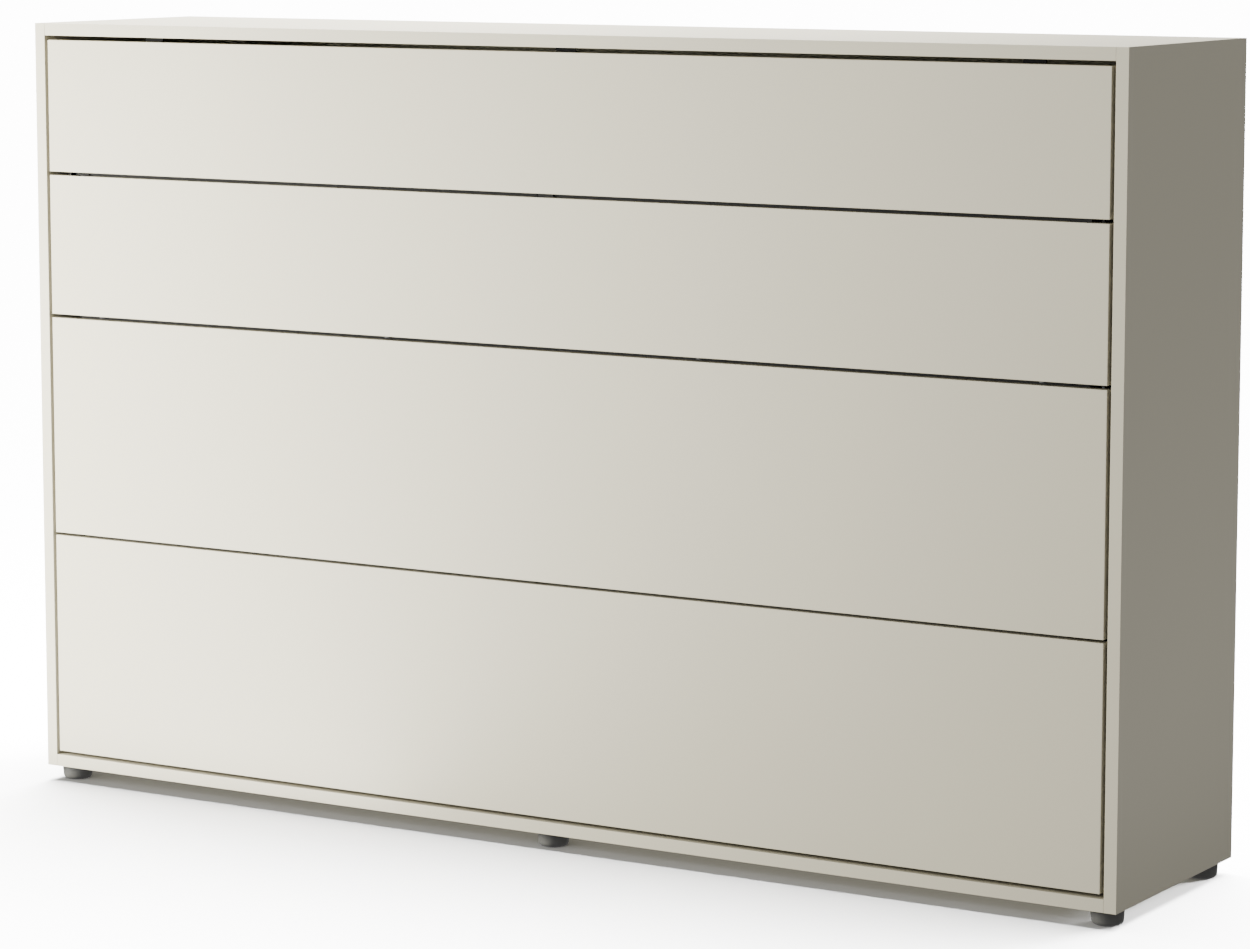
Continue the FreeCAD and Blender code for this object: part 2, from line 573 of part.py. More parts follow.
def bracket_nodes():
    """Steel plates on the cabinet's sides that carry the bed pivot, the link pivot and the gas spring."""
    pivots, pins, link_pins, struts, screws = [], [], [], [], []
    for sign in SIDES:
        plate_in = sign * bracket_x
        plate_out = sign * inner_half
        holes = [flush_hole_x(plate_in, sign, y, z) for y, z in pivot_screw_places()]
        plate = box(plate_in, plate_out, pivot_y - BRACKET_MARGIN, link_low[0] + BRACKET_MARGIN,
                    pivot_z - BRACKET_TALL_MARGIN, link_low[1] + BRACKET_TALL_MARGIN)
        upright = [e for e in plate.Edges if e.BoundBox.XLength > BRACKET_PLATE / 2]
        plate = plate.makeFillet(BRACKET_CORNER, upright)
        holes.append(rod_x(plate_in, plate_out, pivot_y, pivot_z, PIVOT_RADIUS + RUNNING_FIT))
        holes.append(rod_x(plate_in, plate_out, link_low[0], link_low[1], LINK_PIN_RADIUS + RUNNING_FIT))
        pivots.append(plate.cut(holes))
        tip = sign * (frame_half + LOOSE_FIT)
        collar_x = sign * (bearing_x + BUSH_FLANGE + LOOSE_FIT)
        pins.append(join([rod_x(tip, plate_out, pivot_y, pivot_z, PIVOT_RADIUS),
                          rod_x(collar_x, plate_in, pivot_y, pivot_z, PIVOT_RADIUS + COLLAR_EXTRA)]))
        outside = sign * (link_x + LINK_THICKNESS + LOOSE_FIT)
        link_pins.append(join([
            rod_x(sign * rivet_x, plate_out, link_low[0], link_low[1], LINK_PIN_RADIUS),
            rod_x(outside, plate_in, link_low[0], link_low[1], LINK_PIN_RADIUS + COLLAR_EXTRA),
            rod_x(sign * rivet_x, sign * (rivet_x - RIVET_HEAD), link_low[0], link_low[1],
                  LINK_PIN_RADIUS + RIVET_EXTRA)]))
        seat = box(plate_in, plate_out, strut_top[0] - STRUT_PLATE_HALF, strut_top[0] + STRUT_PLATE_HALF,
                   strut_top[1] - STRUT_PLATE_HALF, strut_top[1] + STRUT_PLATE_HALF)
        corners = [e for e in seat.Edges if e.BoundBox.XLength > BRACKET_PLATE / 2]
        seat = seat.makeFillet(STRUT_PLATE_CORNER, corners)
        seat = seat.cut([flush_hole_x(plate_in, sign, y, z) for y, z in strut_screw_places()])
        eye_in = strut_x - STRUT_EYE_WIDTH / 2 - LOOSE_FIT
        eye_out = strut_x + STRUT_EYE_WIDTH / 2 + LOOSE_FIT
        struts.append(join([
            seat, rod_x(sign * eye_in, plate_in, strut_top[0], strut_top[1], LINK_PIN_RADIUS),
            rod_x(sign * eye_out, plate_in, strut_top[0], strut_top[1], LINK_PIN_RADIUS + COLLAR_EXTRA),
            rod_x(sign * eye_in, sign * (eye_in - RIVET_HEAD), strut_top[0], strut_top[1],
                  LINK_PIN_RADIUS + RIVET_EXTRA)]))
        seats = list(pivot_screw_places()) + strut_screw_places()
        screws += [flush_screw_x(plate_in, sign, y, z) for y, z in seats]
    for x, y in stop_screw_places():
        head = rod_z(x, y, bay_roof - STOP_PLATE - SCREW_HEAD, bay_roof - STOP_PLATE, SCREW_HEAD_RADIUS)
        shank = rod_z(x, y, bay_roof - STOP_PLATE, bay_roof - STOP_PLATE + SCREW_LENGTH, SCREW_RADIUS)
        screws.append(join([head, shank]))
    return {"pivot_brackets": Part.makeCompound(pivots), "bed_pivot_pins": Part.makeCompound(pins),
            "link_pivot_pins": Part.makeCompound(link_pins), "gas_spring_brackets": Part.makeCompound(struts),
            "bracket_screws": Part.makeCompound(screws)}


def panel_screw_places():
    """(x, z) of the spacers and screws behind each fixed front board."""
    rail_row = (-rail_screw_x, -CENTRE_SCREW_OFFSET, CENTRE_SCREW_OFFSET, rail_screw_x)
    upright_row = [x for x, width in UPRIGHTS]
    rows = [(rail_row, (top_rail_low + top_rail_high) / 2), (upright_row, top_front_low + SCREW_ROW_INSET),
            (upright_row, middle_high - SCREW_ROW_INSET), (upright_row, middle_low + SCREW_ROW_INSET),
            (upright_row, bottom_high - SCREW_ROW_INSET),
            (rail_row, (bottom_rail_low + bottom_rail_high) / 2)]
    return [(x, z) for row, z in rows for x in row]


def bow_places():
    """(first leg x, second leg x, rail z) of the mattress bows, whose legs stand between slat holders."""
    gap = SLAT_FIRST + SLAT_PITCH / 2
    first = gap + SLAT_PITCH * BOW_FIRST_GAP
    second = first + SLAT_PITCH * BOW_GAPS
    heights = ((bottom_rail_low + bottom_rail_high) / 2, (top_rail_low + top_rail_high) / 2)
    return [(sign * first, sign * second, z) for sign in SIDES for z in heights]


def plate_bolt_places():
    """(y, z) of the bolts in each bearing plate and each gas spring stud plate."""
    heights = [pivot_z + PLATE_BOLT_REACH, pivot_z - PLATE_BOLT_REACH]
    heights += [strut_foot[1] + above for above in STUD_BOLTS_ABOVE]
    return [(frame_mid_y, z) for z in heights]


def hinge_screw_places():
    """(x, z) of the screws in each hinge arm's plate."""
    return [(x, hinge_z + dz) for x, width in UPRIGHTS for dz in (HINGE_SCREW_ABOVE, -HINGE_SCREW_BELOW)]


def bumper_places():
    return [(x, flap_low + BUMPER_ABOVE_EDGE) for x, width in UPRIGHTS]


def frame_bolt_pieces(slack):
    """Bolts that join the tubes, or, with slack, their bores."""
    radius = FRAME_BOLT_RADIUS + slack
    length = TUBE_WIDTH + FRAME_BOLT_GRIP + slack
    pieces = []
    for x, width in UPRIGHTS:
        if slack:
            pieces.append(rod_z(x, frame_mid_y, top_rail_high + CUT_PAST, top_rail_high - length, radius))
            pieces.append(rod_z(x, frame_mid_y, bottom_rail_low - CUT_PAST, bottom_rail_low + length, radius))
        else:
            pieces.append(hex_bolt_z(x, frame_mid_y, top_rail_high, 1, radius, length))
            pieces.append(hex_bolt_z(x, frame_mid_y, bottom_rail_low, -1, radius, length))
    stud = CENTRE_TUBE_WIDTH / 2 + FRAME_BOLT_GRIP + slack
    for y, z in [(mid_rail_y, mid_rail_z)] + [(frame_mid_y, row) for row in flap_rail_rows]:
        for sign in SIDES:
            if slack:
                start = sign * (frame_half + CUT_PAST)
                pieces.append(rod_x(start, sign * (frame_half - length), y, z, radius))
            else:
                pieces.append(hex_bolt_x(sign * frame_half, sign, y, z, radius, length))
        pieces.append(rod_x(-stud, stud, y, z, radius))
    return pieces


def long_rail(sign, front, z, bolts):
    """A tube from the centre upright to an end upright, and the plugs in its ends."""
    x0 = sign * CENTRE_TUBE_WIDTH / 2
    x1 = sign * (upright_x - TUBE_WIDTH / 2)
    low = z - TUBE_WIDTH / 2
    high = z + TUBE_WIDTH / 2
    inset = TUBE_WALL + SNUG_FIT
    plugs = []
    for end, inward in ((x0, sign), (x1, -sign)):
        plug = box(end, end + inward * PLUG_LENGTH, front + inset, frame_rear_y - inset,
                   low + inset, high - inset)
        plugs.append(less(plug, bolts))
    rail = box(x0, x1, front, frame_rear_y, low, high)
    return less(hollow(rail, 0, TUBE_WALL, TUBE_WALL), bolts), plugs


def frame_nodes():
    bolts = frame_bolt_pieces(SNUG_FIT)
    panel_screws = [rod_y(x, front_rear_y, frame_rear_y + CUT_PAST, z, PANEL_SCREW_RADIUS + SNUG_FIT)
                    for x, z in panel_screw_places()]
    bow_bores = [rod_y(x, frame_y + TUBE_WALL, frame_rear_y + CUT_PAST, z, BOW_RADIUS + SNUG_FIT)
                 for x0, x1, z in bow_places() for x in (x0, x1)]
    plate_bores = [rod_x(sign * (frame_half + CUT_PAST), sign * (frame_half - PLATE_BOLT_LENGTH), y, z,
                         PLATE_BOLT_RADIUS + SNUG_FIT) for sign in SIDES for y, z in plate_bolt_places()]
    hinge_bores = [rod_y(x, frame_y - CUT_PAST, frame_y + SCREW_LENGTH, z, SCREW_RADIUS + SNUG_FIT)
                   for x, z in hinge_screw_places()]
    bumper_end = frame_y + TUBE_WALL + CUT_PAST
    bumper_bores = [rod_y(x, frame_y - CUT_PAST, bumper_end, z, BUFFER_STEM_RADIUS + SNUG_FIT)
                    for x, z in bumper_places()]
    bores = bolts + panel_screws + bow_bores + plate_bores + hinge_bores + bumper_bores
    nodes = {}
    inset = TUBE_WALL + SNUG_FIT
    rails = (("bed_bottom_rail", bottom_rail_low, bottom_rail_high),
             ("bed_top_rail", top_rail_low, top_rail_high))
    caps = []
    for name, low, high in rails:
        rail = box(-frame_half, frame_half, frame_y, frame_rear_y, low, high)
        nodes[name] = less(hollow(rail, 0, TUBE_WALL, TUBE_WALL), bores)
        for sign in SIDES:
            cap = box(sign * (frame_half - CAP_LENGTH), sign * frame_half, frame_y + inset,
                      frame_rear_y - inset, low + inset, high - inset)
            caps.append(less(cap, bolts))
    plugs = []
    for name, (x, width) in zip(("bed_left_upright", "bed_centre_upright", "bed_right_upright"), UPRIGHTS):
        upright = box(x - width / 2, x + width / 2, frame_y, frame_rear_y, bottom_rail_high, top_rail_low)
        nodes[name] = less(hollow(upright, TUBE_WALL, TUBE_WALL, 0), bores)
        half = width / 2 - inset
        for low in (bottom_rail_high, top_rail_low - PLUG_LENGTH):
            plug = box(x - half, x + half, frame_y + inset, frame_rear_y - inset, low, low + PLUG_LENGTH)
            plugs.append(less(plug, bores))
    for name, sign in (("bed_left_mid_rail", -1), ("bed_right_mid_rail", 1)):
        nodes[name], rail_plugs = long_rail(sign, front_rear_y, mid_rail_z, bolts)
        plugs += rail_plugs
    flap_rails = []
    for z in flap_rail_rows:
        for sign in SIDES:
            rail, rail_plugs = long_rail(sign, frame_y, z, bolts)
            flap_rails.append(rail)
            plugs += rail_plugs
    nodes["bed_flap_rails"] = Part.makeCompound(flap_rails)
    nodes["tube_plugs"] = Part.makeCompound(plugs)
    nodes["rail_end_caps"] = Part.makeCompound(caps)
    nodes["frame_bolts"] = Part.makeCompound(frame_bolt_pieces(0))
    return nodes


def front_nodes():
    """The three fixed front boards, the spacers that carry them and their screws."""
    bite = front_rear_y - PANEL_SCREW_BITE - CUT_PAST
    bores = [rod_y(x, bite, front_rear_y + CUT_PAST, z, PANEL_SCREW_RADIUS + SNUG_FIT)
             for x, z in panel_screw_places()]
    nodes = {}
    for name, low, high in (("top_front_board", top_front_low, front_high),
                            ("middle_front_board", middle_low, middle_high),
                            ("bottom_front_board", front_low, bottom_high)):
        nodes[name] = less(board(-front_half, front_half, front_y, front_rear_y, low, high), bores)
    spacers, screws = [], []
    for x, z in panel_screw_places():
        pad = rod_y(x, front_rear_y, frame_y, z, SPACER_RADIUS)
        hole = rod_y(x, front_rear_y - CUT_PAST, frame_y + CUT_PAST, z, PANEL_SCREW_RADIUS + SNUG_FIT)
        spacers.append(pad.cut(hole))
        screws.append(pan_screw_y(x, frame_rear_y, 1, z, PANEL_SCREW_RADIUS, 2 * PANEL_SCREW_RADIUS,
                                  SCREW_HEAD, TUBE_DEPTH + FRAME_GAP + PANEL_SCREW_BITE))
    nodes["front_board_spacers"] = Part.makeCompound(spacers)
    nodes["front_board_screws"] = Part.makeCompound(screws)
    return nodes


def slat_places():
    return [sign * (SLAT_FIRST + SLAT_PITCH * i) for sign in SIDES for i in range(slat_count)]


def slat_nodes():
    """Bowed slats across the bed, a moulded holder at each end, and the bows that keep the mattress in."""
    slats, holders = [], []
    low = bottom_rail_low + SLAT_END_INSET
    high = top_rail_high - SLAT_END_INSET
    middle = (low + high) / 2
    under = frame_rear_y + HOLDER_FLOOR
    for x in slat_places():
        x0 = x - SLAT_WIDTH / 2
        edges = []
        for y in (under, under + SLAT_THICKNESS):
            points = (vec(x0, y, low), vec(x0, y + SLAT_CAMBER, middle), vec(x0, y, high))
            edges.append(Part.Arc(*points).toShape())
        for z in (low, high):
            edges.append(Part.makeLine(vec(x0, under, z), vec(x0, under + SLAT_THICKNESS, z)))
        face = Part.Face(Part.Wire(Part.__sortEdges__(edges)))
        slats.append(face.extrude(vec(SLAT_WIDTH, 0, 0)))
        half = HOLDER_WIDTH / 2
        for rail_low, inward in ((bottom_rail_low, 1), (top_rail_low, -1)):
            z0 = rail_low + HOLDER_MARGIN
            z1 = rail_low + TUBE_WIDTH - HOLDER_MARGIN
            block = box(x - half, x + half, frame_rear_y, frame_rear_y + HOLDER_DEPTH, z0, z1)
            corners = [e for e in block.Edges if e.BoundBox.YMin > frame_rear_y + HOLDER_DEPTH / 2]
            block = block.makeFillet(HOLDER_MARGIN, corners)
            mouth = z1 + CUT_PAST if inward > 0 else z0 - CUT_PAST
            stop = low - LOOSE_FIT if inward > 0 else high + LOOSE_FIT
            pocket = box(x - SLAT_WIDTH / 2 - LOOSE_FIT, x + SLAT_WIDTH / 2 + LOOSE_FIT, under - LOOSE_FIT,
                         under + SLAT_THICKNESS + HOLDER_PLAY, stop, mouth)
            holders.append(block.cut(pocket))
    bows = []
    start = frame_y + TUBE_WALL + LOOSE_FIT
    crown = frame_rear_y + BOW_HEIGHT - BOW_RADIUS
    for x0, x1, z in bow_places():
        left = min(x0, x1)
        right = max(x0, x1)
        turn = BOW_BEND * math.sqrt(0.5)
        path = Part.Wire([
            Part.makeLine(vec(left, start, z), vec(left, crown - BOW_BEND, z)),
            Part.Arc(vec(left, crown - BOW_BEND, z),
                     vec(left + BOW_BEND - turn, crown - BOW_BEND + turn, z),
                     vec(left + BOW_BEND, crown, z)).toShape(),
            Part.makeLine(vec(left + BOW_BEND, crown, z), vec(right - BOW_BEND, crown, z)),
            Part.Arc(vec(right - BOW_BEND, crown, z),
                     vec(right - BOW_BEND + turn, crown - BOW_BEND + turn, z),
                     vec(right, crown - BOW_BEND, z)).toShape(),
            Part.makeLine(vec(right, crown - BOW_BEND, z), vec(right, start, z))])
        ring = Part.Wire(Part.makeCircle(BOW_RADIUS, vec(left, start, z), vec(0, 1, 0)))
        bows.append(path.makePipeShell([ring], True, True))
    bows = [Part.Solid(bow) if bow.ShapeType == "Shell" else bow for bow in bows]
    return {"slats": Part.makeCompound(slats), "slat_holders": Part.makeCompound(holders),
            "mattress_bows": Part.makeCompound(bows)}


def bearing_nodes():
    """Plates on the bed frame's ends: one carries the bush of the bed pivot, one the gas spring's stud."""
    plates, bushes, bolts, studs = [], [], [], []
    bush_radius = PIVOT_RADIUS + RUNNING_FIT + BUSH_WALL
    for sign in SIDES:
        inner = sign * frame_half
        outer = sign * bearing_x
        bearing_bolts = plate_bolt_places()[:2]
        stud_bolts = plate_bolt_places()[2:]
        plate = box(inner, outer, frame_y - BEARING_PLATE_FRONT, frame_rear_y,
                    pivot_z - BEARING_PLATE_HEIGHT / 2, pivot_z + BEARING_PLATE_HEIGHT / 2)
        corners = [e for e in plate.Edges if e.BoundBox.XLength > BEARING_PLATE / 2]
        plate = plate.makeFillet(BEARING_PLATE_FRONT, corners)
        holes = [rod_x(inner, outer, y, z, PLATE_BOLT_RADIUS + SNUG_FIT) for y, z in bearing_bolts]
        holes.append(rod_x(inner, outer, pivot_y, pivot_z, bush_radius + RUNNING_FIT))
        plates.append(plate.cut(holes))
        sleeve = join([rod_x(inner, outer, pivot_y, pivot_z, bush_radius),
                       rod_x(outer, sign * (bearing_x + BUSH_FLANGE), pivot_y, pivot_z,
                             bush_radius + BUSH_FLANGE_EXTRA)])
        bushes.append(sleeve.cut(rod_x(inner, sign * (bearing_x + BUSH_FLANGE), pivot_y, pivot_z,
                                       PIVOT_RADIUS + RUNNING_FIT)))
        face = sign * (frame_half + STUD_PLATE)
        base = box(inner, face, frame_y, frame_rear_y, bottom_rail_low + HOLDER_MARGIN,
                   strut_foot[1] + STUD_PLATE_ABOVE)
        base = base.cut([rod_x(inner, face, y, z, PLATE_BOLT_RADIUS + SNUG_FIT) for y, z in stud_bolts])
        end = sign * (strut_x - SOCKET_WIDTH / 2 - STUD_SHORT)
        collar = sign * (frame_half + STUD_PLATE + BUSH_FLANGE)
        studs.append(join([
            base, rod_x(face, end, strut_foot[0], strut_foot[1], LINK_PIN_RADIUS),
            rod_x(face, collar, strut_foot[0], strut_foot[1], LINK_PIN_RADIUS + RIVET_EXTRA)]))
        for seat, places in ((outer, bearing_bolts), (face, stud_bolts)):
            bolts += [hex_bolt_x(seat, sign, y, z, PLATE_BOLT_RADIUS, PLATE_BOLT_LENGTH) for y, z in places]
    return {"bearing_plates": Part.makeCompound(plates), "pivot_bushes": Part.makeCompound(bushes),
            "plate_bolts": Part.makeCompound(bolts), "gas_spring_studs": Part.makeCompound(studs)}


def leg_hinge_nodes():
    """Arms on the uprights that reach into the flap, their screws, and the bumpers behind the flap."""
    arms, screws, bumpers = [], [], []
    plate_y = frame_y - HINGE_ARM_PLATE
    for x, width in UPRIGHTS:
        half = HINGE_ARM_WIDTH / 2
        plate = box(x - HINGE_ARM_HALF, x + HINGE_ARM_HALF, plate_y, frame_y,
                    hinge_z - HINGE_ARM_BELOW, hinge_z + HINGE_ARM_ABOVE)
        tongue = box(x - half, x + half, hinge_y, plate_y, hinge_z - HINGE_ARM_TIP, hinge_z + HINGE_ARM_TIP)
        arm = join([plate, tongue, rod_x(x - half, x + half, hinge_y, hinge_z, HINGE_ARM_TIP)])
        holes = [rod_x(x - half, x + half, hinge_y, hinge_z, HINGE_PIN_RADIUS + RUNNING_FIT)]
        holes += [rod_y(sx, plate_y - CUT_PAST, frame_y + CUT_PAST, sz, SCREW_RADIUS + SNUG_FIT)
                  for sx, sz in hinge_screw_places()]
        arms.append(arm.cut(holes))
    for x, z in hinge_screw_places():
        screws.append(pan_screw_y(x, plate_y, -1, z, SCREW_RADIUS, SCREW_HEAD_RADIUS, SCREW_HEAD,
                                  SCREW_LENGTH))
    for x, z in bumper_places():
        pad = rod_y(x, front_rear_y + LOOSE_FIT, frame_y, z, BUMPER_RADIUS)
        bumpers.append(join([pad, rod_y(x, frame_y, frame_y + TUBE_WALL + CUT_PAST, z, BUFFER_STEM_RADIUS)]))
    return {"leg_hinge_arms": Part.makeCompound(arms), "hinge_arm_screws": Part.makeCompound(screws),
            "leg_bumpers": Part.makeCompound(bumpers)}


def leg_screw_places():
    """(x, seat y, z) of the screws in the flap: two in each hinge wing and two in each horn's foot."""
    places = []
    wing_z = hinge_z - HINGE_BLOCK_BELOW - HINGE_WING_HEIGHT / 2
    for x, width in UPRIGHTS:
        for dx in (-WING_SCREW_OFFSET, WING_SCREW_OFFSET):
            places.append((x + dx, front_rear_y + HINGE_WING, wing_z))
    horn_mid = horn_x + HORN_THICKNESS + HORN_FOOT_LENGTH / 2
    for sign in SIDES:
        for share in HORN_SCREW_SHARES:
            places.append((sign * horn_mid, front_rear_y + HORN_FOOT,
                           hinge_z - HORN_HIGH - (HORN_LOW - HORN_HIGH) * share))
    return places


def glide_places():
    return [(front_half - GLIDE_FROM_END) * share for share in GLIDE_SHARES]


def leg_nodes():
    """The fold-out leg: the second front board, with its hinge blocks, pins, horns and floor glides."""
    screw_bores = [rod_y(x, front_rear_y - PANEL_SCREW_BITE, seat + CUT_PAST, z, SCREW_RADIUS + SNUG_FIT)
                   for x, seat, z in leg_screw_places()]
    pocket_front = front_rear_y - HINGE_BLOCK_DEPTH
    pocket_low = hinge_z - HINGE_BLOCK_BELOW
    flap = board(-front_half, front_half, front_y, front_rear_y, flap_low, flap_high)
    stem_top = flap_low + SCREW_LENGTH
    stem_bores = [rod_z(x, hinge_y, flap_low - CUT_PAST, stem_top, BUFFER_STEM_RADIUS + SNUG_FIT)
                  for x in glide_places()]
    pockets, blocks, pins = [], [], []
    slot_half = HINGE_ARM_WIDTH / 2 + HINGE_SLOT_CLEAR
    for x, width in UPRIGHTS:
        half = HINGE_BLOCK_HALF
        pockets.append(box(x - half - SNUG_FIT, x + half + SNUG_FIT, pocket_front - SNUG_FIT,
                           front_rear_y + CUT_PAST, pocket_low - SNUG_FIT, flap_high + CUT_PAST))
        core = box(x - half, x + half, pocket_front, front_rear_y, pocket_low, flap_high - EDGE_RADIUS)
        wing = box(x - half, x + half, front_rear_y, front_rear_y + HINGE_WING,
                   pocket_low - HINGE_WING_HEIGHT, pocket_low + HINGE_WING)
        slot = box(x - slot_half, x + slot_half, pocket_front - CUT_PAST,
                   front_rear_y + HINGE_WING + CUT_PAST, hinge_z - HINGE_ARM_TIP - HINGE_SLOT_CLEAR,
                   flap_high + CUT_PAST)
        bore = rod_x(x - half, x + half, hinge_y, hinge_z, HINGE_PIN_RADIUS + SNUG_FIT)
        blocks.append(join([core, wing]).cut([slot, bore] + screw_bores))
        pins.append(rod_x(x - half, x + half, hinge_y, hinge_z, HINGE_PIN_RADIUS))
    nodes = {"leg_flap": less(flap, pockets + screw_bores + stem_bores),
             "leg_hinge_blocks": Part.makeCompound(blocks), "leg_hinge_pins": Part.makeCompound(pins)}

    horns = []
    eye_y, eye_z = link_high
    for sign in SIDES:
        x0 = sign * horn_x
        x1 = sign * (horn_x + HORN_THICKNESS)
        outline = ((front_rear_y, hinge_z - HORN_LOW), (front_rear_y, hinge_z - HORN_HIGH),
                   (eye_y - HORN_NECK_LONG, eye_z + HORN_NECK_SHORT),
                   (eye_y + HORN_NECK_LONG, eye_z - HORN_NECK_SHORT),
                   (front_rear_y + HORN_ROOT, hinge_z - HORN_LOW))
        foot = box(x1, x1 + sign * HORN_FOOT_LENGTH, front_rear_y, front_rear_y + HORN_FOOT,
                   hinge_z - HORN_LOW, hinge_z - HORN_HIGH)
        horn = join([prism_x(outline, x0, x1), rod_x(x0, x1, eye_y, eye_z, HORN_EYE_RADIUS), foot,
                     rod_x(x0, sign * rivet_x, eye_y, eye_z, LINK_PIN_RADIUS),
                     rod_x(sign * rivet_x, sign * (rivet_x - RIVET_HEAD), eye_y, eye_z,
                           LINK_PIN_RADIUS + RIVET_EXTRA)])
        horns.append(horn.cut(screw_bores))
    nodes["leg_horns"] = Part.makeCompound(horns)
    nodes["leg_glides"] = Part.makeCompound([
        join([rod_z(x, hinge_y, flap_low - GLIDE_HEIGHT, flap_low, GLIDE_RADIUS),
              rod_z(x, hinge_y, flap_low, stem_top - CUT_PAST, BUFFER_STEM_RADIUS)]) for x in glide_places()])
    nodes["leg_screws"] = Part.makeCompound([
        pan_screw_y(x, seat, 1, z, SCREW_RADIUS, SCREW_HEAD_RADIUS, SCREW_HEAD,
                    seat - front_rear_y + PANEL_SCREW_BITE - CUT_PAST) for x, seat, z in leg_screw_places()])
    return nodes


def link_nodes():
    """Flat bars from the cabinet to the leg's horns; with the bed they make a parallelogram."""
    nodes = {}
    for name, sign in (("left_leg_link", -1), ("right_leg_link", 1)):
        x0 = sign * link_x
        x1 = sign * (link_x + LINK_THICKNESS)
        bar = round_bar_x(link_low, link_high, LINK_WIDTH / 2, x0, x1)
        nodes[name] = bar.cut([rod_x(x0, x1, link_low[0], link_low[1], LINK_PIN_RADIUS + RUNNING_FIT),
                               rod_x(x0, x1, link_high[0], link_high[1], LINK_PIN_RADIUS + LOOSE_FIT)])
    return nodes


def strut_round(sign, start, end, radius):
    """A round piece along a gas spring's line, from one distance to another below its upper pivot."""
    base = vec(sign * strut_x, strut_top[0] + strut_line[0] * start, strut_top[1] + strut_line[1] * start)
    return Part.makeCylinder(radius, end - start, base, vec(0, strut_line[0], strut_line[1]))


def strut_nodes():
    """Gas springs: a cylinder hung on the cabinet, and a piston rod whose socket meets the bed's stud."""
    nodes = {}
    bore_radius = STRUT_RADIUS - STRUT_WALL
    for side, sign in (("left", -1), ("right", 1)):
        eye = (sign * (strut_x - STRUT_EYE_WIDTH / 2), sign * (strut_x + STRUT_EYE_WIDTH / 2))
        body = join([rod_x(eye[0], eye[1], strut_top[0], strut_top[1], STRUT_EYE_RADIUS),
                     strut_round(sign, 0, STRUT_NECK, STRUT_NECK_RADIUS),
                     strut_round(sign, STRUT_NECK, STRUT_LENGTH, STRUT_RADIUS)])
        mouth = STRUT_LENGTH - STRUT_GUIDE
        wide = STRUT_RADIUS * 2
        nodes[side + "_gas_spring_cylinder"] = body.cut([
            rod_x(sign * (strut_x - wide), sign * (strut_x + wide), strut_top[0], strut_top[1],
                  LINK_PIN_RADIUS + RUNNING_FIT),
            strut_round(sign, STRUT_NECK + STRUT_GUIDE, mouth, bore_radius),
            strut_round(sign, mouth - CUT_PAST, STRUT_LENGTH + CUT_PAST, ROD_RADIUS + RUNNING_FIT)])
        piston = strut_round(sign, PISTON_AT - PISTON_LENGTH, PISTON_AT, bore_radius - SNUG_FIT)
        rod = strut_round(sign, PISTON_AT - PISTON_LENGTH / 2, strut_long, ROD_RADIUS)
        neck = strut_round(sign, strut_long - SOCKET_RADIUS - SOCKET_NECK, strut_long, STRUT_NECK_RADIUS)
        socket = rod_x(sign * (strut_x - SOCKET_WIDTH / 2), sign * (strut_x + SOCKET_WIDTH / 2),
                       strut_foot[0], strut_foot[1], SOCKET_RADIUS)
        nodes[side + "_gas_spring_rod"] = join([piston, rod, neck, socket])
    return nodes


def main():
    os.makedirs("parts", exist_ok=True)
    nodes = {}
    for make in (cabinet_nodes, foot_nodes, stop_nodes, bracket_nodes, frame_nodes, front_nodes, slat_nodes,
                 bearing_nodes, leg_hinge_nodes, leg_nodes, link_nodes, strut_nodes):
        nodes.update(make())
    for name, shape in nodes.items():
        if not shape.isValid():
            print("not valid:", name)
        shape.exportStep("parts/" + name + ".step")
    print(len(nodes), "nodes,", sum(len(s.Solids) for s in nodes.values()), "solids")
    print("bed pivot at y %.1f z %.1f, leg hinge at y %.1f z %.1f" % (pivot_y, pivot_z, hinge_y, hinge_z))
    swing = math.degrees(strut_swing)
    print("gas spring %.1f to %.1f, swing %.3f degrees" % (strut_long, strut_short, swing))


if __name__ == "__main__":
    main()
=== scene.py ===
# %% [markdown]
# A wall bed, closed. The bed turns down along its long side out of a low cabinet with four
# front boards. The rigid pieces come from a CAD model that is loaded as a fixed frame, so this
# lesson is mostly about finishes, light and the small moulded and turned details that a
# plain solid lacks. Everything is in metres; X runs along the bed, the front faces -Y, Z is up.

# %% Load the frame
import json
import math

import bpy
from mathutils import Matrix, Vector


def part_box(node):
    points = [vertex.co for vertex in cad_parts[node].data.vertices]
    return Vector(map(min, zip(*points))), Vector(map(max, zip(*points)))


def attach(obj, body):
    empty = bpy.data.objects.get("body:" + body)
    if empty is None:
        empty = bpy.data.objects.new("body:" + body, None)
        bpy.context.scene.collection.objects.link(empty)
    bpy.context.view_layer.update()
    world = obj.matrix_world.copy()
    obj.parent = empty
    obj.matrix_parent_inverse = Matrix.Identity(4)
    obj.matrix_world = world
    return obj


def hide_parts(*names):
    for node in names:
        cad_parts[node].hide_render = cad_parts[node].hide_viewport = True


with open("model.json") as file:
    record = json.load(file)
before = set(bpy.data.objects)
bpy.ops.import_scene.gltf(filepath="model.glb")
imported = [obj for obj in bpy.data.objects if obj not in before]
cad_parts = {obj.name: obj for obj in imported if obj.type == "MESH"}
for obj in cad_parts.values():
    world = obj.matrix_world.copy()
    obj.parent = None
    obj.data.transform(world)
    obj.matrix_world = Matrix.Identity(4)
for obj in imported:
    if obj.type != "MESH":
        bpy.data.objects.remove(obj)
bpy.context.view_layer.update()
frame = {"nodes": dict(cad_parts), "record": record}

nodes = frame["nodes"]
slot_of = {part["node"]: part["material_slot"] for part in frame["record"]["subparts"]}

# %% [markdown]
# The camera. The picture was taken with a long lens from the right, a little higher than the
# cabinet's top. A camera could be placed by its coordinates, but the point it looks at, its
# distance and two angles are easier, because each of them changes one thing in the picture.

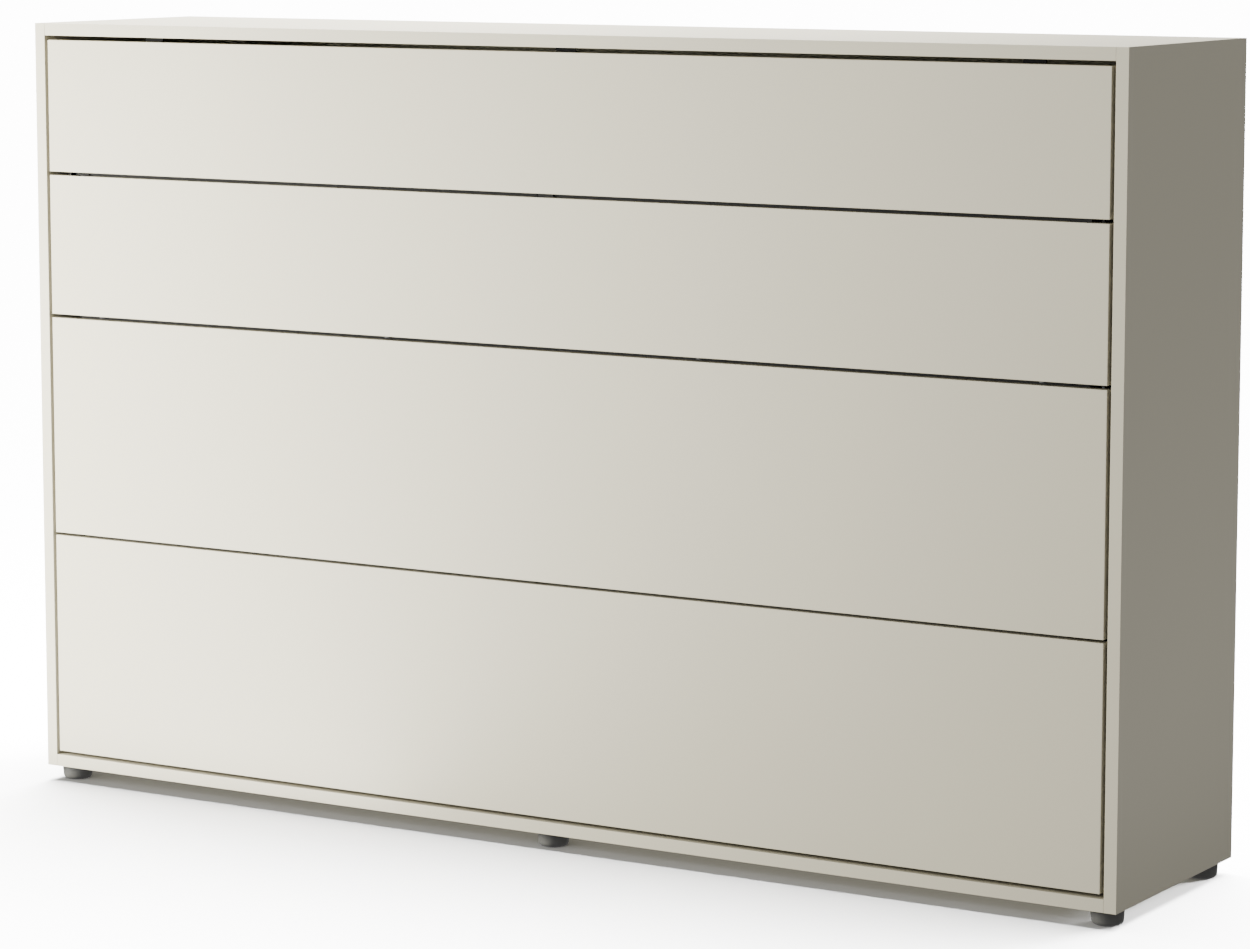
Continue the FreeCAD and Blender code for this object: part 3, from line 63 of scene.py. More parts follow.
# %% Camera
CAMERA_TARGET = Vector((0.031, 0.0, 0.737))
CAMERA_DISTANCE = 7.203
CAMERA_AZIMUTH = math.radians(31.49)
CAMERA_ELEVATION = math.radians(7.25)
LENS = 119.0
SENSOR_WIDTH = 36.0
LENS_SHIFT = -0.05
FAR_CLIP = 200.0

back = Vector((math.sin(CAMERA_AZIMUTH) * math.cos(CAMERA_ELEVATION),
               -math.cos(CAMERA_AZIMUTH) * math.cos(CAMERA_ELEVATION),
               math.sin(CAMERA_ELEVATION)))
bpy.ops.object.camera_add(location=CAMERA_TARGET + back * CAMERA_DISTANCE)
camera = bpy.context.object
camera.rotation_euler = (-back).to_track_quat("-Z", "Y").to_euler()
camera.data.lens = LENS
camera.data.sensor_width = SENSOR_WIDTH
camera.data.shift_y = LENS_SHIFT
camera.data.clip_end = FAR_CLIP
bpy.context.scene.camera = camera
print("camera at", tuple(round(x, 3) for x in camera.location))

# %% [markdown]
# Shader maths as plain expressions. Node setups get long when every sum is a node that is
# added and linked by hand. A small class that wraps a socket lets a sum be written as a sum:
# each operator adds its Math node, also where a plain number stands on the left.

# %% A socket that can be used in sums
class Wire:
    """An output socket; sums, products and comparisons of wires add Math nodes."""

    def __init__(self, finish, socket):
        self.finish = finish
        self.socket = socket

    def math(self, operation, first, second=0.0):
        return self.finish.add("ShaderNodeMath", {"operation": operation}, {0: first, 1: second})

    def __add__(self, other):
        return self.math("ADD", self, other)

    def __radd__(self, other):
        return self.math("ADD", other, self)

    def __sub__(self, other):
        return self.math("SUBTRACT", self, other)

    def __rsub__(self, other):
        return self.math("SUBTRACT", other, self)

    def __mul__(self, other):
        return self.math("MULTIPLY", self, other)

    def __rmul__(self, other):
        return self.math("MULTIPLY", other, self)

    def __lt__(self, other):
        return self.math("LESS_THAN", self, other)

    def __gt__(self, other):
        return self.math("GREATER_THAN", self, other)

    def __abs__(self):
        return self.math("ABSOLUTE", self)

    def least(self, other):
        return self.math("MINIMUM", self, other)

    def fraction(self):
        return self.math("FRACT", self)


print("sockets can be added, multiplied and compared")

# %% [markdown]
# A material under construction. One method adds any node: its settings come first, because
# some of them change which sockets a node has, and then its sockets get numbers or wires. The
# methods after it are short names for the few nodes that nearly every finish needs.

# %% A material under construction
# A Mix node has sockets for numbers, vectors and colours; these are the ones for colours.
MIX_SHARE, MIX_FIRST, MIX_SECOND, MIX_RESULT = 0, 6, 7, 2


def shade(colour, share):
    """A colour made lighter or darker by a share."""
    return tuple(channel * share for channel in colour[:3]) + (1.0,)


class Finish:
    """A material's node tree, its shader and its object coordinates."""

    def __init__(self, name):
        self.material = bpy.data.materials.new(name)
        self.material.use_nodes = True
        self.tree = self.material.node_tree
        self.shader = self.tree.nodes["Principled BSDF"]
        self.place = self.add("ShaderNodeTexCoord", {}, {}, "Object")

    def add(self, kind, settings, sockets, output=0):
        """Adds a node, sets it up, fills its sockets and returns one of its outputs."""
        node = self.tree.nodes.new(kind)
        for key, value in settings.items():
            setattr(node, key, value)
        for key, value in sockets.items():
            self.fill(node.inputs[key], value)
        return Wire(self, node.outputs[output])

    def fill(self, socket, value):
        if isinstance(value, Wire):
            self.tree.links.new(value.socket, socket)
        else:
            socket.default_value = value

    def set(self, **values):
        """Sets or links the shader's own sockets, named with _ for each space."""
        for key, value in values.items():
            self.fill(self.shader.inputs[key.replace("_", " ")], value)

    def axes(self):
        """The x, y and z of the object coordinates."""
        split = self.add("ShaderNodeSeparateXYZ", {}, {"Vector": self.place})
        return [Wire(self, output) for output in split.socket.node.outputs]

    def stretched(self, x, y, z):
        """Object coordinates with each axis scaled, so that a pattern is drawn out along one."""
        return self.add("ShaderNodeMapping", {}, {"Vector": self.place, "Scale": (x, y, z)})

    def noise(self, scale, detail, place=None, roughness=0.5):
        return self.add("ShaderNodeTexNoise", {}, {
            "Vector": place or self.place, "Scale": scale, "Detail": detail, "Roughness": roughness})

    def spread(self, value, low, high, low_to=0.0, high_to=1.0):
        """A value moved from one range to another and kept inside it."""
        return self.add("ShaderNodeMapRange", {"clamp": True}, {
            "Value": value, "From Min": low, "From Max": high, "To Min": low_to, "To Max": high_to})

    def mix(self, share, first, second):
        """A colour between two colours."""
        return self.add("ShaderNodeMix", {"data_type": "RGBA"},
                        {MIX_SHARE: share, MIX_FIRST: first, MIX_SECOND: second}, MIX_RESULT)

    def mottled(self, noise, limits, colour, shades):
        """A colour that goes between two of its shades as a noise goes between two limits."""
        darker, lighter = [shade(colour, share) for share in shades]
        return self.mix(self.spread(noise, *limits), darker, lighter)

    def spotted(self, tone, noise, limits, share, colour):
        """A tone with spots of a colour where a noise is high; share is how strong they grow."""
        return self.mix(self.spread(noise, *limits, 0.0, share), tone, colour)

    def bump(self, height, depth):
        """A surface relief; depth is in metres."""
        return self.add("ShaderNodeBump", {}, {"Height": height, "Distance": depth, "Strength": 1.0})


print("materials can be built")

# %% [markdown]
# Painted shade in the gaps of the front. The faces that look up inside the gaps and a strip along the front
# of the inner sides are painted darker, standing in for the shade deep in the narrow gaps. They could be
# painted by hand, but a test on the object coordinates finds them exactly.

# %% Painted shade in the gaps
GREIGE = (0.612, 0.574, 0.452, 1.0)
GAP_FACE_DEPTH = 0.0002
GAP_PAINTED_SHADE = {"leg_flap": 0.48, "middle_front_board": 0.45, "bottom_front_board": 0.45,
              "bottom_panel": 0.68}
SIDE_PANELS = ("left_side_panel", "right_side_panel")
STRIP_WIDE = 0.028
STRIP_PAINTED_SHADE = 0.5


def with_gap_shade(finish, name, tone):
    """A board's tone with painted shade on the places inside the gaps of the front."""
    low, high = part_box(name)
    # painted shade: the faces that look up inside the gaps of the front are darker
    if name in GAP_PAINTED_SHADE:
        z = finish.axes()[2]
        tone = finish.mix(z > high.z - GAP_FACE_DEPTH, tone, shade(GREIGE, GAP_PAINTED_SHADE[name]))
    # painted shade on a strip of the inner sides just behind the front, seen through the gaps at the ends
    if name in SIDE_PANELS:
        x, y, z = finish.axes()
        inner = abs(x) < min(abs(low.x), abs(high.x)) + GAP_FACE_DEPTH
        strip = finish.spread(y, low.y + STRIP_WIDE / 2, low.y + STRIP_WIDE, 1.0, 0.0)
        tone = finish.mix(inner * strip, tone, shade(GREIGE, STRIP_PAINTED_SHADE))
    return tone


# printed as dust, this is the painted shade in the gaps of the front
print("dust on", list(GAP_PAINTED_SHADE), "and a strip on", SIDE_PANELS)

# %% [markdown]
# The lacquered boards. Their faces are a matt greige coating on chipboard. Seen close, such a
# coating has a very fine waviness, called orange peel, and its gloss drifts a little from
# place to place. Each edge carries a thin glued band, so a hairline runs round every face one
# millimetre in from the edge. That line needs the size of the board, so each board gets a
# material of its own from one recipe.

# %% Greige lacquer
NOISE_LIMITS = (0.3, 0.7)
NOISE_MEAN = 0.5
DRIFT_SCALE = 1.6
DRIFT_SHADES = (0.985, 1.015)
PEEL_SCALE = 420.0
PEEL_DEPTH = 0.000025
PEEL_SWAY = 0.04
SPECK_SCALE = 2600.0
SPECK_LIMITS = (0.62, 0.8)
SPECK_SHARE = 0.06
SPECK_SHADE = 0.8
BAND = 0.0011
BAND_LINE = 0.00018
BAND_SHARE = 0.35
BAND_SHADE = 0.55
BAND_DEEP = 2.0
WORN_WIDE = 0.004
WORN_SMOOTHER = 0.04
LACQUER_ROUGH = (0.5, 0.58)
LACQUER_SPECULAR = 0.4


def distance_from_edge(finish, low, high):
    """How far a point lies from the nearest edge of its board, along the board's two long ways."""
    size = high - low
    thin = min(range(3), key=lambda axis: size[axis])
    nearest = None
    for axis, along in enumerate(finish.axes()):
        if axis != thin:
            nearer = (along - low[axis]).least(high[axis] - along)
            nearest = nearest.least(nearer) if nearest else nearer
    return nearest


def lacquer(name):
    finish = Finish("greige_lacquer_" + name)
    drift = finish.noise(DRIFT_SCALE, detail=3.0)
    peel = finish.noise(PEEL_SCALE, detail=2.0)
    specks = finish.noise(SPECK_SCALE, detail=1.0)
    from_edge = distance_from_edge(finish, *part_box(name))
    seam = abs(from_edge - BAND) < BAND_LINE
    worn = finish.spread(from_edge, 0.0, WORN_WIDE, 1.0, 0.0)
    tone = finish.mottled(drift, NOISE_LIMITS, GREIGE, DRIFT_SHADES)
    tone = finish.spotted(tone, specks, SPECK_LIMITS, SPECK_SHARE, shade(GREIGE, SPECK_SHADE))
    tone = finish.mix(seam * BAND_SHARE, tone, shade(GREIGE, BAND_SHADE))
    # painted shade darkens the faces of this board that lie inside the gaps of the front
    tone = with_gap_shade(finish, name, tone)
    gloss = finish.spread(drift, *NOISE_LIMITS, *LACQUER_ROUGH)
    gloss = gloss + (peel - NOISE_MEAN) * PEEL_SWAY - worn * WORN_SMOOTHER
    relief = finish.bump(peel - seam * BAND_DEEP, PEEL_DEPTH)
    finish.set(Base_Color=tone, Roughness=gloss, Normal=relief, Specular_IOR_Level=LACQUER_SPECULAR)
    return finish.material


boards = [name for name, slot in slot_of.items() if slot == "greige_lacquer"]
for name in boards:
    nodes[name].material_slots[0].material = lacquer(name)
print("lacquered boards:", boards)

# %% [markdown]
# The back. Thin fibreboard, painted on the side that faces the bed and bare brown fibre on the
# side that faces the wall. Two materials would need the faces sorted by side. One material does
# both, because a test on y tells the sides apart: the wall side is the one with the larger y.

# %% Back panels
PAINT = (0.62, 0.60, 0.55, 1.0)
PAINT_SHADES = (0.98, 1.02)
PAINT_ROUGH = 0.5
PAINT_RELIEF = 0.25
FIBRE = (0.30, 0.19, 0.105, 1.0)
FIBRE_SHADES = (0.72, 1.25)
FIBRE_SCALE = 900.0
FIBRE_CRISP = 0.7
FIBRE_DEPTH = 0.00008
FIBRE_SWAY = 0.1
HIGH_LIMITS = (0.35, 0.7)
BARE_ROUGHER = 0.3
CLOUD_SCALE = 14.0
CLOUD_LIMITS = (0.4, 0.75)
CLOUD_SHARE = 0.3
CLOUD_SHADE = 0.75
DOT_SCALE = 520.0


def fibreboard(name):
    finish = Finish("back_board_" + name)
    low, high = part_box(name)
    bare = finish.axes()[1] > (low.y + high.y) / 2
    fibres = finish.noise(FIBRE_SCALE, detail=4.0, roughness=FIBRE_CRISP)
    clouds = finish.noise(CLOUD_SCALE, detail=4.0)
    dots = finish.add("ShaderNodeTexVoronoi", {}, {"Vector": finish.place, "Scale": DOT_SCALE})
    brown = finish.mottled(fibres, HIGH_LIMITS, FIBRE, FIBRE_SHADES)
    brown = finish.spotted(brown, clouds, CLOUD_LIMITS, CLOUD_SHARE, shade(FIBRE, CLOUD_SHADE))
    paint = finish.mottled(clouds, NOISE_LIMITS, PAINT, PAINT_SHADES)
    gloss = PAINT_ROUGH + bare * BARE_ROUGHER + (fibres - NOISE_MEAN) * FIBRE_SWAY
    depth = (dots + fibres) * (PAINT_RELIEF + bare * (1.0 - PAINT_RELIEF))
    relief = finish.bump(depth, FIBRE_DEPTH)
    finish.set(Base_Color=finish.mix(bare, paint, brown), Roughness=gloss, Normal=relief)
    return finish.material


panels = [name for name, slot in slot_of.items() if slot == "back_board"]
for name in panels:
    nodes[name].material_slots[0].material = fibreboard(name)
print("back panels:", panels)

# %% [markdown]
# The layers of a slat. The slats are bowed strips of birch veneer glued in layers, and the
# layers show as thin lines on the cut edges. The lines follow the bow, so the depth of a point
# is measured from the bowed face and not from a flat plane.

# %% Layers of a slat
SLAT_CAMBER = 0.008
SLAT_LAYER = 0.0016
HALF_SHEET = 0.5
GLUE_WIDE = 0.12
GLUE_SHARE = 0.45
GLUE_SHADE = 0.4


def depth_in_slat(finish):
    """How deep a point lies in a slat, whose middle stands out by the camber."""
    low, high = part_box("slats")
    x, y, z = finish.axes()
    share = (z - (low.z + high.z) / 2) * (2.0 / (high.z - low.z))
    return y - low.y - SLAT_CAMBER * (1.0 - share * share)


def layered(finish, tone, colour):
    """A slat's tone with the dark glue lines between its sheets, the first half a sheet deep."""
    sheets = (depth_in_slat(finish) * (1.0 / SLAT_LAYER) + HALF_SHEET).fraction()
    return finish.mix((sheets < GLUE_WIDE) * GLUE_SHARE, tone, shade(colour, GLUE_SHADE))


print("sheets of", SLAT_LAYER, "m")

# %% [markdown]
# Wood. Its grain is noise drawn out along the fibre, once coarse for the bands and once much
# finer for the pores, with paler blotches over both. A picture of wood would stop at each edge;
# noise on object coordinates runs on round it, as grain does. The slats run along Z in the
# closed bed, and the turned beech dowels along X.

# %% Birch and beech
BIRCH = (0.62, 0.45, 0.27, 1.0)
BEECH = (0.55, 0.36, 0.22, 1.0)
ALONG_X = 0
ALONG_Z = 2
GRAIN_ACROSS = 60.0
GRAIN_ALONG = 2.5
GRAIN_CRISP = 0.6
GRAIN_SHADES = (0.8, 1.15)
GRAIN_DEPTH = 0.00012
PORES_FINER = 24.0
PORE_LIMITS = (0.58, 0.75)
PORE_SHARE = 0.35
PORE_SHADE = 0.55
PORE_RELIEF = 0.5
BLOTCH_SCALE = 5.0
BLOTCH_SHARE = 0.25
BLOTCH_SHADE = 1.2
WIDE_LIMITS = (0.2, 0.8)
WOOD_ROUGH = (0.42, 0.58)


def wood(name, colour, along, glued):
    """Grain along one axis; glued says whether a slat's layers show."""
    finish = Finish(name)
    pulled = [GRAIN_ACROSS] * 3
    pulled[along] = GRAIN_ALONG
    grain = finish.noise(1.0, detail=5.0, place=finish.stretched(*pulled), roughness=GRAIN_CRISP)
    finer = [PORES_FINER * pull for pull in pulled]
    pores = finish.noise(1.0, detail=2.0, place=finish.stretched(*finer))
    blotch = finish.noise(BLOTCH_SCALE, detail=2.0)
    tone = finish.mottled(grain, NOISE_LIMITS, colour, GRAIN_SHADES)
    tone = finish.spotted(tone, pores, PORE_LIMITS, PORE_SHARE, shade(colour, PORE_SHADE))
    tone = finish.spotted(tone, blotch, HIGH_LIMITS, BLOTCH_SHARE, shade(colour, BLOTCH_SHADE))
    if glued:
        tone = layered(finish, tone, colour)
    gloss = finish.spread(grain, *WIDE_LIMITS, *WOOD_ROUGH)
    relief = finish.bump(grain + pores * PORE_RELIEF, GRAIN_DEPTH)
    finish.set(Base_Color=tone, Roughness=gloss, Normal=relief)
    return finish.material


finishes = {
    "beech": wood("beech", BEECH, ALONG_X, False),
    "birch": wood("birch", BIRCH, ALONG_Z, True),
}
print("finishes so far:", list(finishes))

# %% [markdown]
# The tube frame. It has a dull black powder coat, a paint that is baked from dust and keeps a grain like
# orange skin. A picture of such a coat would need unwrapping and would repeat, so one noise on object
# coordinates lifts the skin, paints a highlight on its tops by making them lighter, and varies its gloss.

# %% Powder coat
POWDER = (0.045, 0.045, 0.047, 1.0)
POWDER_SHADES = (0.93, 1.07)
POWDER_DRIFT = 6.0
POWDER_SCALE = 1400.0
POWDER_DEPTH = 0.00009
POWDER_LIMITS = (0.55, 0.8)
POWDER_SHARE = 0.3
POWDER_PEAK_HIGHLIGHT = 1.35
POWDER_ROUGH = (0.66, 0.8)
POWDER_SPECULAR = 0.3


def powder_coat(name):
    finish = Finish(name)
    skin = finish.noise(POWDER_SCALE, detail=2.0)
    drift = finish.noise(POWDER_DRIFT, detail=2.0)
    tone = finish.mottled(drift, NOISE_LIMITS, POWDER, POWDER_SHADES)
    # painted highlight: the high points of the skin are painted lighter
    tone = finish.spotted(tone, skin, POWDER_LIMITS, POWDER_SHARE, shade(POWDER, POWDER_PEAK_HIGHLIGHT))
    gloss = finish.spread(skin, *NOISE_LIMITS, *POWDER_ROUGH)
    relief = finish.bump(skin, POWDER_DEPTH)
    finish.set(Base_Color=tone, Roughness=gloss, Normal=relief, Specular_IOR_Level=POWDER_SPECULAR)
    return finish.material


finishes["dark_powder_coat"] = powder_coat("dark_powder_coat")
print("finishes so far:", list(finishes))

# %% [markdown]
# Bare and painted metal. Bolts and screws are zinc plated, and the spring rods are chromed.
# Plating shows faint cloudy patches and fine scratches; noise that is drawn out along one axis
# gives scratches without any unwrapping. The spring bodies are painted black, with a thinner
# and glossier paint than the frame's.

# %% Plated and painted metal
ZINC = (0.62, 0.64, 0.66, 1.0)
CHROME = (0.78, 0.79, 0.80, 1.0)
PATCH_SCALE = 70.0
PATCH_SHADES = (0.82, 1.05)
SCRATCHES = (2200.0, 2200.0, 60.0)
SCRATCH_DEPTH = 0.00001
SCRATCH_SWAY = 0.06
BLACK = (0.018, 0.018, 0.019, 1.0)
BLACK_SHADES = (0.8, 1.6)
BLACK_DRIFT = 30.0
BLACK_SCALE = 700.0
BLACK_DEPTH = 0.00002
BLACK_ROUGH = (0.26, 0.36)


def plated(name, colour, dull, bright):
    """A bare metal with cloudy patches; dull and bright are its roughness limits."""
    finish = Finish(name)
    patches = finish.noise(PATCH_SCALE, detail=4.0)
    scratches = finish.noise(1.0, detail=2.0, place=finish.stretched(*SCRATCHES))
    tone = finish.mottled(patches, HIGH_LIMITS, colour, PATCH_SHADES)
    gloss = finish.spread(patches, *NOISE_LIMITS, bright, dull) + (scratches - NOISE_MEAN) * SCRATCH_SWAY
    relief = finish.bump(scratches, SCRATCH_DEPTH)
    finish.set(Base_Color=tone, Roughness=gloss, Normal=relief, Metallic=1.0)
    return finish.material


def black_paint(name):
    finish = Finish(name)
    skin = finish.noise(BLACK_SCALE, detail=2.0)
    drift = finish.noise(BLACK_DRIFT, detail=2.0)
    tone = finish.mottled(drift, HIGH_LIMITS, BLACK, BLACK_SHADES)
    gloss = finish.spread(drift, *NOISE_LIMITS, *BLACK_ROUGH)
    relief = finish.bump(skin, BLACK_DEPTH)
    finish.set(Base_Color=tone, Roughness=gloss, Normal=relief)
    return finish.material


finishes["black_painted_steel"] = black_paint("black_painted_steel")
finishes["chrome"] = plated("chrome", CHROME, dull=0.12, bright=0.06)
finishes["zinc_steel"] = plated("zinc_steel", ZINC, dull=0.42, bright=0.26)
print("finishes so far:", list(finishes))

# %% [markdown]
# Plastic and rubber. Moulded plastic has a fine spark-eroded grain from its mould, with a
# slight mottling in its colour. Rubber is duller and picks up dust. One recipe does all four;
# only the colour, the dullness and the depth of the grain differ.

# %% Plastic and rubber
DARK_PLASTIC = (0.060, 0.060, 0.060, 1.0)
GREY_PLASTIC = (0.090, 0.090, 0.086, 1.0)
PALE_PLASTIC = (0.66, 0.65, 0.61, 1.0)
RUBBER = (0.030, 0.030, 0.031, 1.0)
MOULD_SCALE = 2200.0
MOULD_SWAY = 0.1
MOTTLE_SCALE = 90.0
MOTTLE_SHADES = (0.88, 1.12)
MOTTLE_SWAY = 0.05


def moulded(name, colour, dull, grain):
    """Moulded stuff; dull is its mean roughness, grain the depth of its skin in metres."""
    finish = Finish(name)
    skin = finish.noise(MOULD_SCALE, detail=2.0)
    mottle = finish.noise(MOTTLE_SCALE, detail=3.0)
    tone = finish.mottled(mottle, NOISE_LIMITS, colour, MOTTLE_SHADES)
    gloss = finish.spread(mottle, *NOISE_LIMITS, dull - MOTTLE_SWAY, dull + MOTTLE_SWAY)
    gloss = gloss + (skin - NOISE_MEAN) * MOULD_SWAY
    relief = finish.bump(skin, grain)
    finish.set(Base_Color=tone, Roughness=gloss, Normal=relief)
    return finish.material


finishes["dark_plastic"] = moulded("dark_plastic", DARK_PLASTIC, dull=0.48, grain=0.00003)
finishes["grey_plastic"] = moulded("grey_plastic", GREY_PLASTIC, dull=0.48, grain=0.00003)
finishes["pale_plastic"] = moulded("pale_plastic", PALE_PLASTIC, dull=0.42, grain=0.00002)
finishes["rubber"] = moulded("rubber", RUBBER, dull=0.72, grain=0.00005)
print("finishes so far:", list(finishes))

# %% [markdown]
# Giving out the finishes. With plastic and rubber the table is complete, and each node gets the
# finish that its slot names. The leg's horns are the exception: they lie right behind a gap in
# the front, so their zinc is blackened.

# %% Finishes on the nodes
BLACK_ZINC = (0.050, 0.050, 0.052, 1.0)
exceptions = {"leg_horns": plated("blackened_zinc", BLACK_ZINC, dull=0.55, bright=0.42)}


def finish_of(node):
    """The finish that a node's slot names, apart from the exceptions."""
    return exceptions.get(node, finishes[slot_of[node]])


dressed = [name for name, slot in slot_of.items() if slot in finishes]
for name in dressed:
    nodes[name].material_slots[0].material = finish_of(name)
print("finishes on", len(dressed), "nodes, besides the boards and the back")

# %% [markdown]
# Tools for modelling. Each piece below starts from a primitive and is shaped in edit mode, as
# one would by hand. An operator acts on whatever is selected, so one helper picks whole pieces
# and another opens edit mode with just the faces or edges that pass a test on their place.

# %% Starting and selecting
def pick(*pieces):
    """Selects these pieces alone and makes the first of them active."""
    bpy.ops.object.select_all(action="DESELECT")
    for piece in pieces:
        piece.select_set(True)
    bpy.context.view_layer.objects.active = pieces[0]


def settle():
    """Moves the selected pieces' places, turns and sizes into their meshes."""
    bpy.ops.object.transform_apply(location=True, rotation=True, scale=True)
    return bpy.context.object


def block(size, place):
    bpy.ops.object.select_all(action="DESELECT")
    bpy.ops.mesh.primitive_cube_add(size=1.0, location=place, scale=size)
    return settle()


def choose(piece, kind, test):
    """Opens edit mode with the faces whose centre and normal, or the edges whose ends, pass a test."""
    bpy.ops.object.mode_set(mode="OBJECT")
    bpy.context.tool_settings.mesh_select_mode = (False, kind == "EDGE", kind == "FACE")
    mesh = piece.data
    for vertex in mesh.vertices:
        vertex.select = False
    for edge in mesh.edges:
        ends = [mesh.vertices[index].co for index in edge.vertices]
        edge.select = kind == "EDGE" and test(*ends)
    for face in mesh.polygons:
        face.select = kind == "FACE" and test(face.center, face.normal)
    bpy.ops.object.mode_set(mode="EDIT")


def push(x, y, z):
    """Draws the selected faces out along a way."""
    bpy.ops.mesh.extrude_region_move(TRANSFORM_OT_translate={"value": (x, y, z)})


print("selecting helpers ready")

# %% [markdown]
# Turning and cutting. A round piece is drawn out of a disc ring by ring, as on a lathe, and a
# Boolean modifier cuts one piece out of another or joins the two. Both can leave doubled points
# and faces that look inwards, so a last helper closes the mesh and smooths its gentle bends.

# %% Turning and cutting
MERGE_UNDER = 0.000005
SMOOTH_UNDER = math.radians(32.0)
ROUND_SIDES = 24


def turned(steps, sides=ROUND_SIDES):
    """A round piece along Z, drawn out of a disc ring by ring; each step is (radius, height)."""
    radius, height = steps[0]
    bpy.ops.object.select_all(action="DESELECT")
    bpy.ops.mesh.primitive_circle_add(vertices=sides, radius=radius, fill_type="NGON",
                                      location=(0.0, 0.0, height))
    piece = settle()
    bpy.ops.object.mode_set(mode="EDIT")
    bpy.ops.mesh.select_all(action="SELECT")
    for next_radius, next_height in steps[1:]:
        push(0.0, 0.0, next_height - height)
        share = next_radius / radius
        bpy.ops.transform.resize(value=(share, share, 1.0), center_override=(0.0, 0.0, next_height))
        radius, height = next_radius, next_height
    bpy.ops.mesh.select_all(action="SELECT")
    bpy.ops.mesh.normals_make_consistent(inside=False)
    bpy.ops.object.mode_set(mode="OBJECT")
    return piece


def combine(piece, tool, operation):
    """Cuts a tool out of a piece, joins it on or keeps what they share, and deletes the tool."""
    change = piece.modifiers.new("combine", "BOOLEAN")
    change.operation = operation
    change.solver = "EXACT"
    change.object = tool
    pick(piece)
    bpy.ops.object.modifier_apply(modifier=change.name)
    bpy.data.objects.remove(tool)
    return piece


def close_mesh(piece):
    """Merges doubled points, turns the faces outwards and shades gentle bends smooth."""
    bpy.ops.object.mode_set(mode="OBJECT")
    pick(piece)
    bpy.ops.object.mode_set(mode="EDIT")
    bpy.ops.mesh.select_all(action="SELECT")
    bpy.ops.mesh.remove_doubles(threshold=MERGE_UNDER)
    bpy.ops.mesh.normals_make_consistent(inside=False)
    bpy.ops.object.mode_set(mode="OBJECT")
    bpy.ops.object.shade_smooth_by_angle(angle=SMOOTH_UNDER)
    return piece


print("turning helpers ready")

# %% [markdown]
# Copies, and taking a node's place. What repeats is modelled once and copied, each copy with a
# mesh of its own. A finished piece then stands for a node of the CAD model: it gets that node's
# finish, moves with the same body, and the node itself is hidden.

# %% Copies and places
bodies = frame["record"]["behaviour"]["bodies"]
body_of = {node: body for body, group in bodies.items() for node in group}


def facing(place, way, turn):
    """A place for a piece that was made along Z: it looks along way, turned about that line."""
    aim = Vector(way).to_track_quat("Z", "Y").to_matrix().to_4x4()
    return Matrix.Translation(place) @ aim @ Matrix.Rotation(turn, 4, "Z")


def joined(*pieces):
    """Several pieces as one mesh."""
    pick(*pieces)
    if len(pieces) > 1:
        bpy.ops.object.join()
    return pieces[0]


def spread_copies(piece, places):
    """Puts a copy of the piece at each place, joins the copies and deletes the first one."""
    twins = []
    for place in places:
        twin = piece.copy()
        twin.data = piece.data.copy()
        bpy.context.collection.objects.link(twin)
        twin.matrix_world = place
        twins.append(twin)
    bpy.data.objects.remove(piece)
    pick(*twins)
    settle()
    return joined(*twins)


def stand_for(piece, name, node):
    """The piece takes a CAD node's place, on that node's body and with its finish."""
    piece.name = name
    piece.data.materials.clear()
    piece.data.materials.append(finish_of(node))
    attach(piece, body_of[node])
    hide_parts(node)
    print(name, "stands for", node, "with", len(piece.data.polygons), "faces")


print("copying helpers ready for", len(body_of), "nodes")

# %% [markdown]
# The slats. Each is a strip of glued veneer, pressed so that it bows towards the mattress, with
# its long edges rounded over. A bar with bevelled edges, cut across many times, can follow a
# bend; the bend itself is a Simple Deform modifier, because an arc of a few degrees over a
# metre is hard to hit by hand. One slat is made and copied to the others' places.

# %% Slats
SLAT_WIDTH = 0.053
SLAT_THICKNESS = 0.008
SLAT_EDGE = 0.0026
SLAT_EDGE_STEPS = 3
SLAT_CUTS = 18
SLAT_FIRST = 0.062
SLAT_PITCH = 0.078
SLATS_EACH_SIDE = 12

slat_low, slat_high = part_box("slats")
slat_length = slat_high.z - slat_low.z
slat_middle = (slat_high.z + slat_low.z) / 2
slat = block((SLAT_WIDTH, SLAT_THICKNESS, slat_length), (0.0, 0.0, 0.0))
choose(slat, "EDGE", lambda a, b: abs(a.z - b.z) > slat_length / 2)
bpy.ops.mesh.bevel(offset=SLAT_EDGE, segments=SLAT_EDGE_STEPS, affect="EDGES")
for cut in range(1, SLAT_CUTS):
    cut_z = slat_length * (cut / SLAT_CUTS - 0.5)
    bpy.ops.mesh.select_all(action="SELECT")
    bpy.ops.mesh.bisect(plane_co=(0.0, 0.0, cut_z), plane_no=(0.0, 0.0, 1.0))
bpy.ops.object.mode_set(mode="OBJECT")
bow = slat.modifiers.new("bow", "SIMPLE_DEFORM")
bow.deform_method = "BEND"
bow.deform_axis = "X"
# An arc's angle is four times the arctangent of its rise over half its chord.
bow.angle = -4 * math.atan(SLAT_CAMBER / (slat_length / 2))
bpy.ops.object.modifier_apply(modifier=bow.name)
close_mesh(slat)
slat_y = slat_low.y + SLAT_CAMBER + SLAT_THICKNESS / 2
slat_steps = [SLAT_FIRST + SLAT_PITCH * step for step in range(SLATS_EACH_SIDE)]
slat_xs = [side * step for side in (-1, 1) for step in slat_steps]
slats = spread_copies(slat, [Matrix.Translation((x, slat_y, slat_middle)) for x in slat_xs])
stand_for(slats, "bowed_slats", "slats")

# %% [markdown]
# The slat holders. A moulded pocket grips each end of a slat. It is a block whose mouth is
# inset and pushed in to make the pocket; then its outer rims are rounded and four grip grooves
# are sunk in its back, between cuts across the block. Two functions say which edges and faces
# these are.

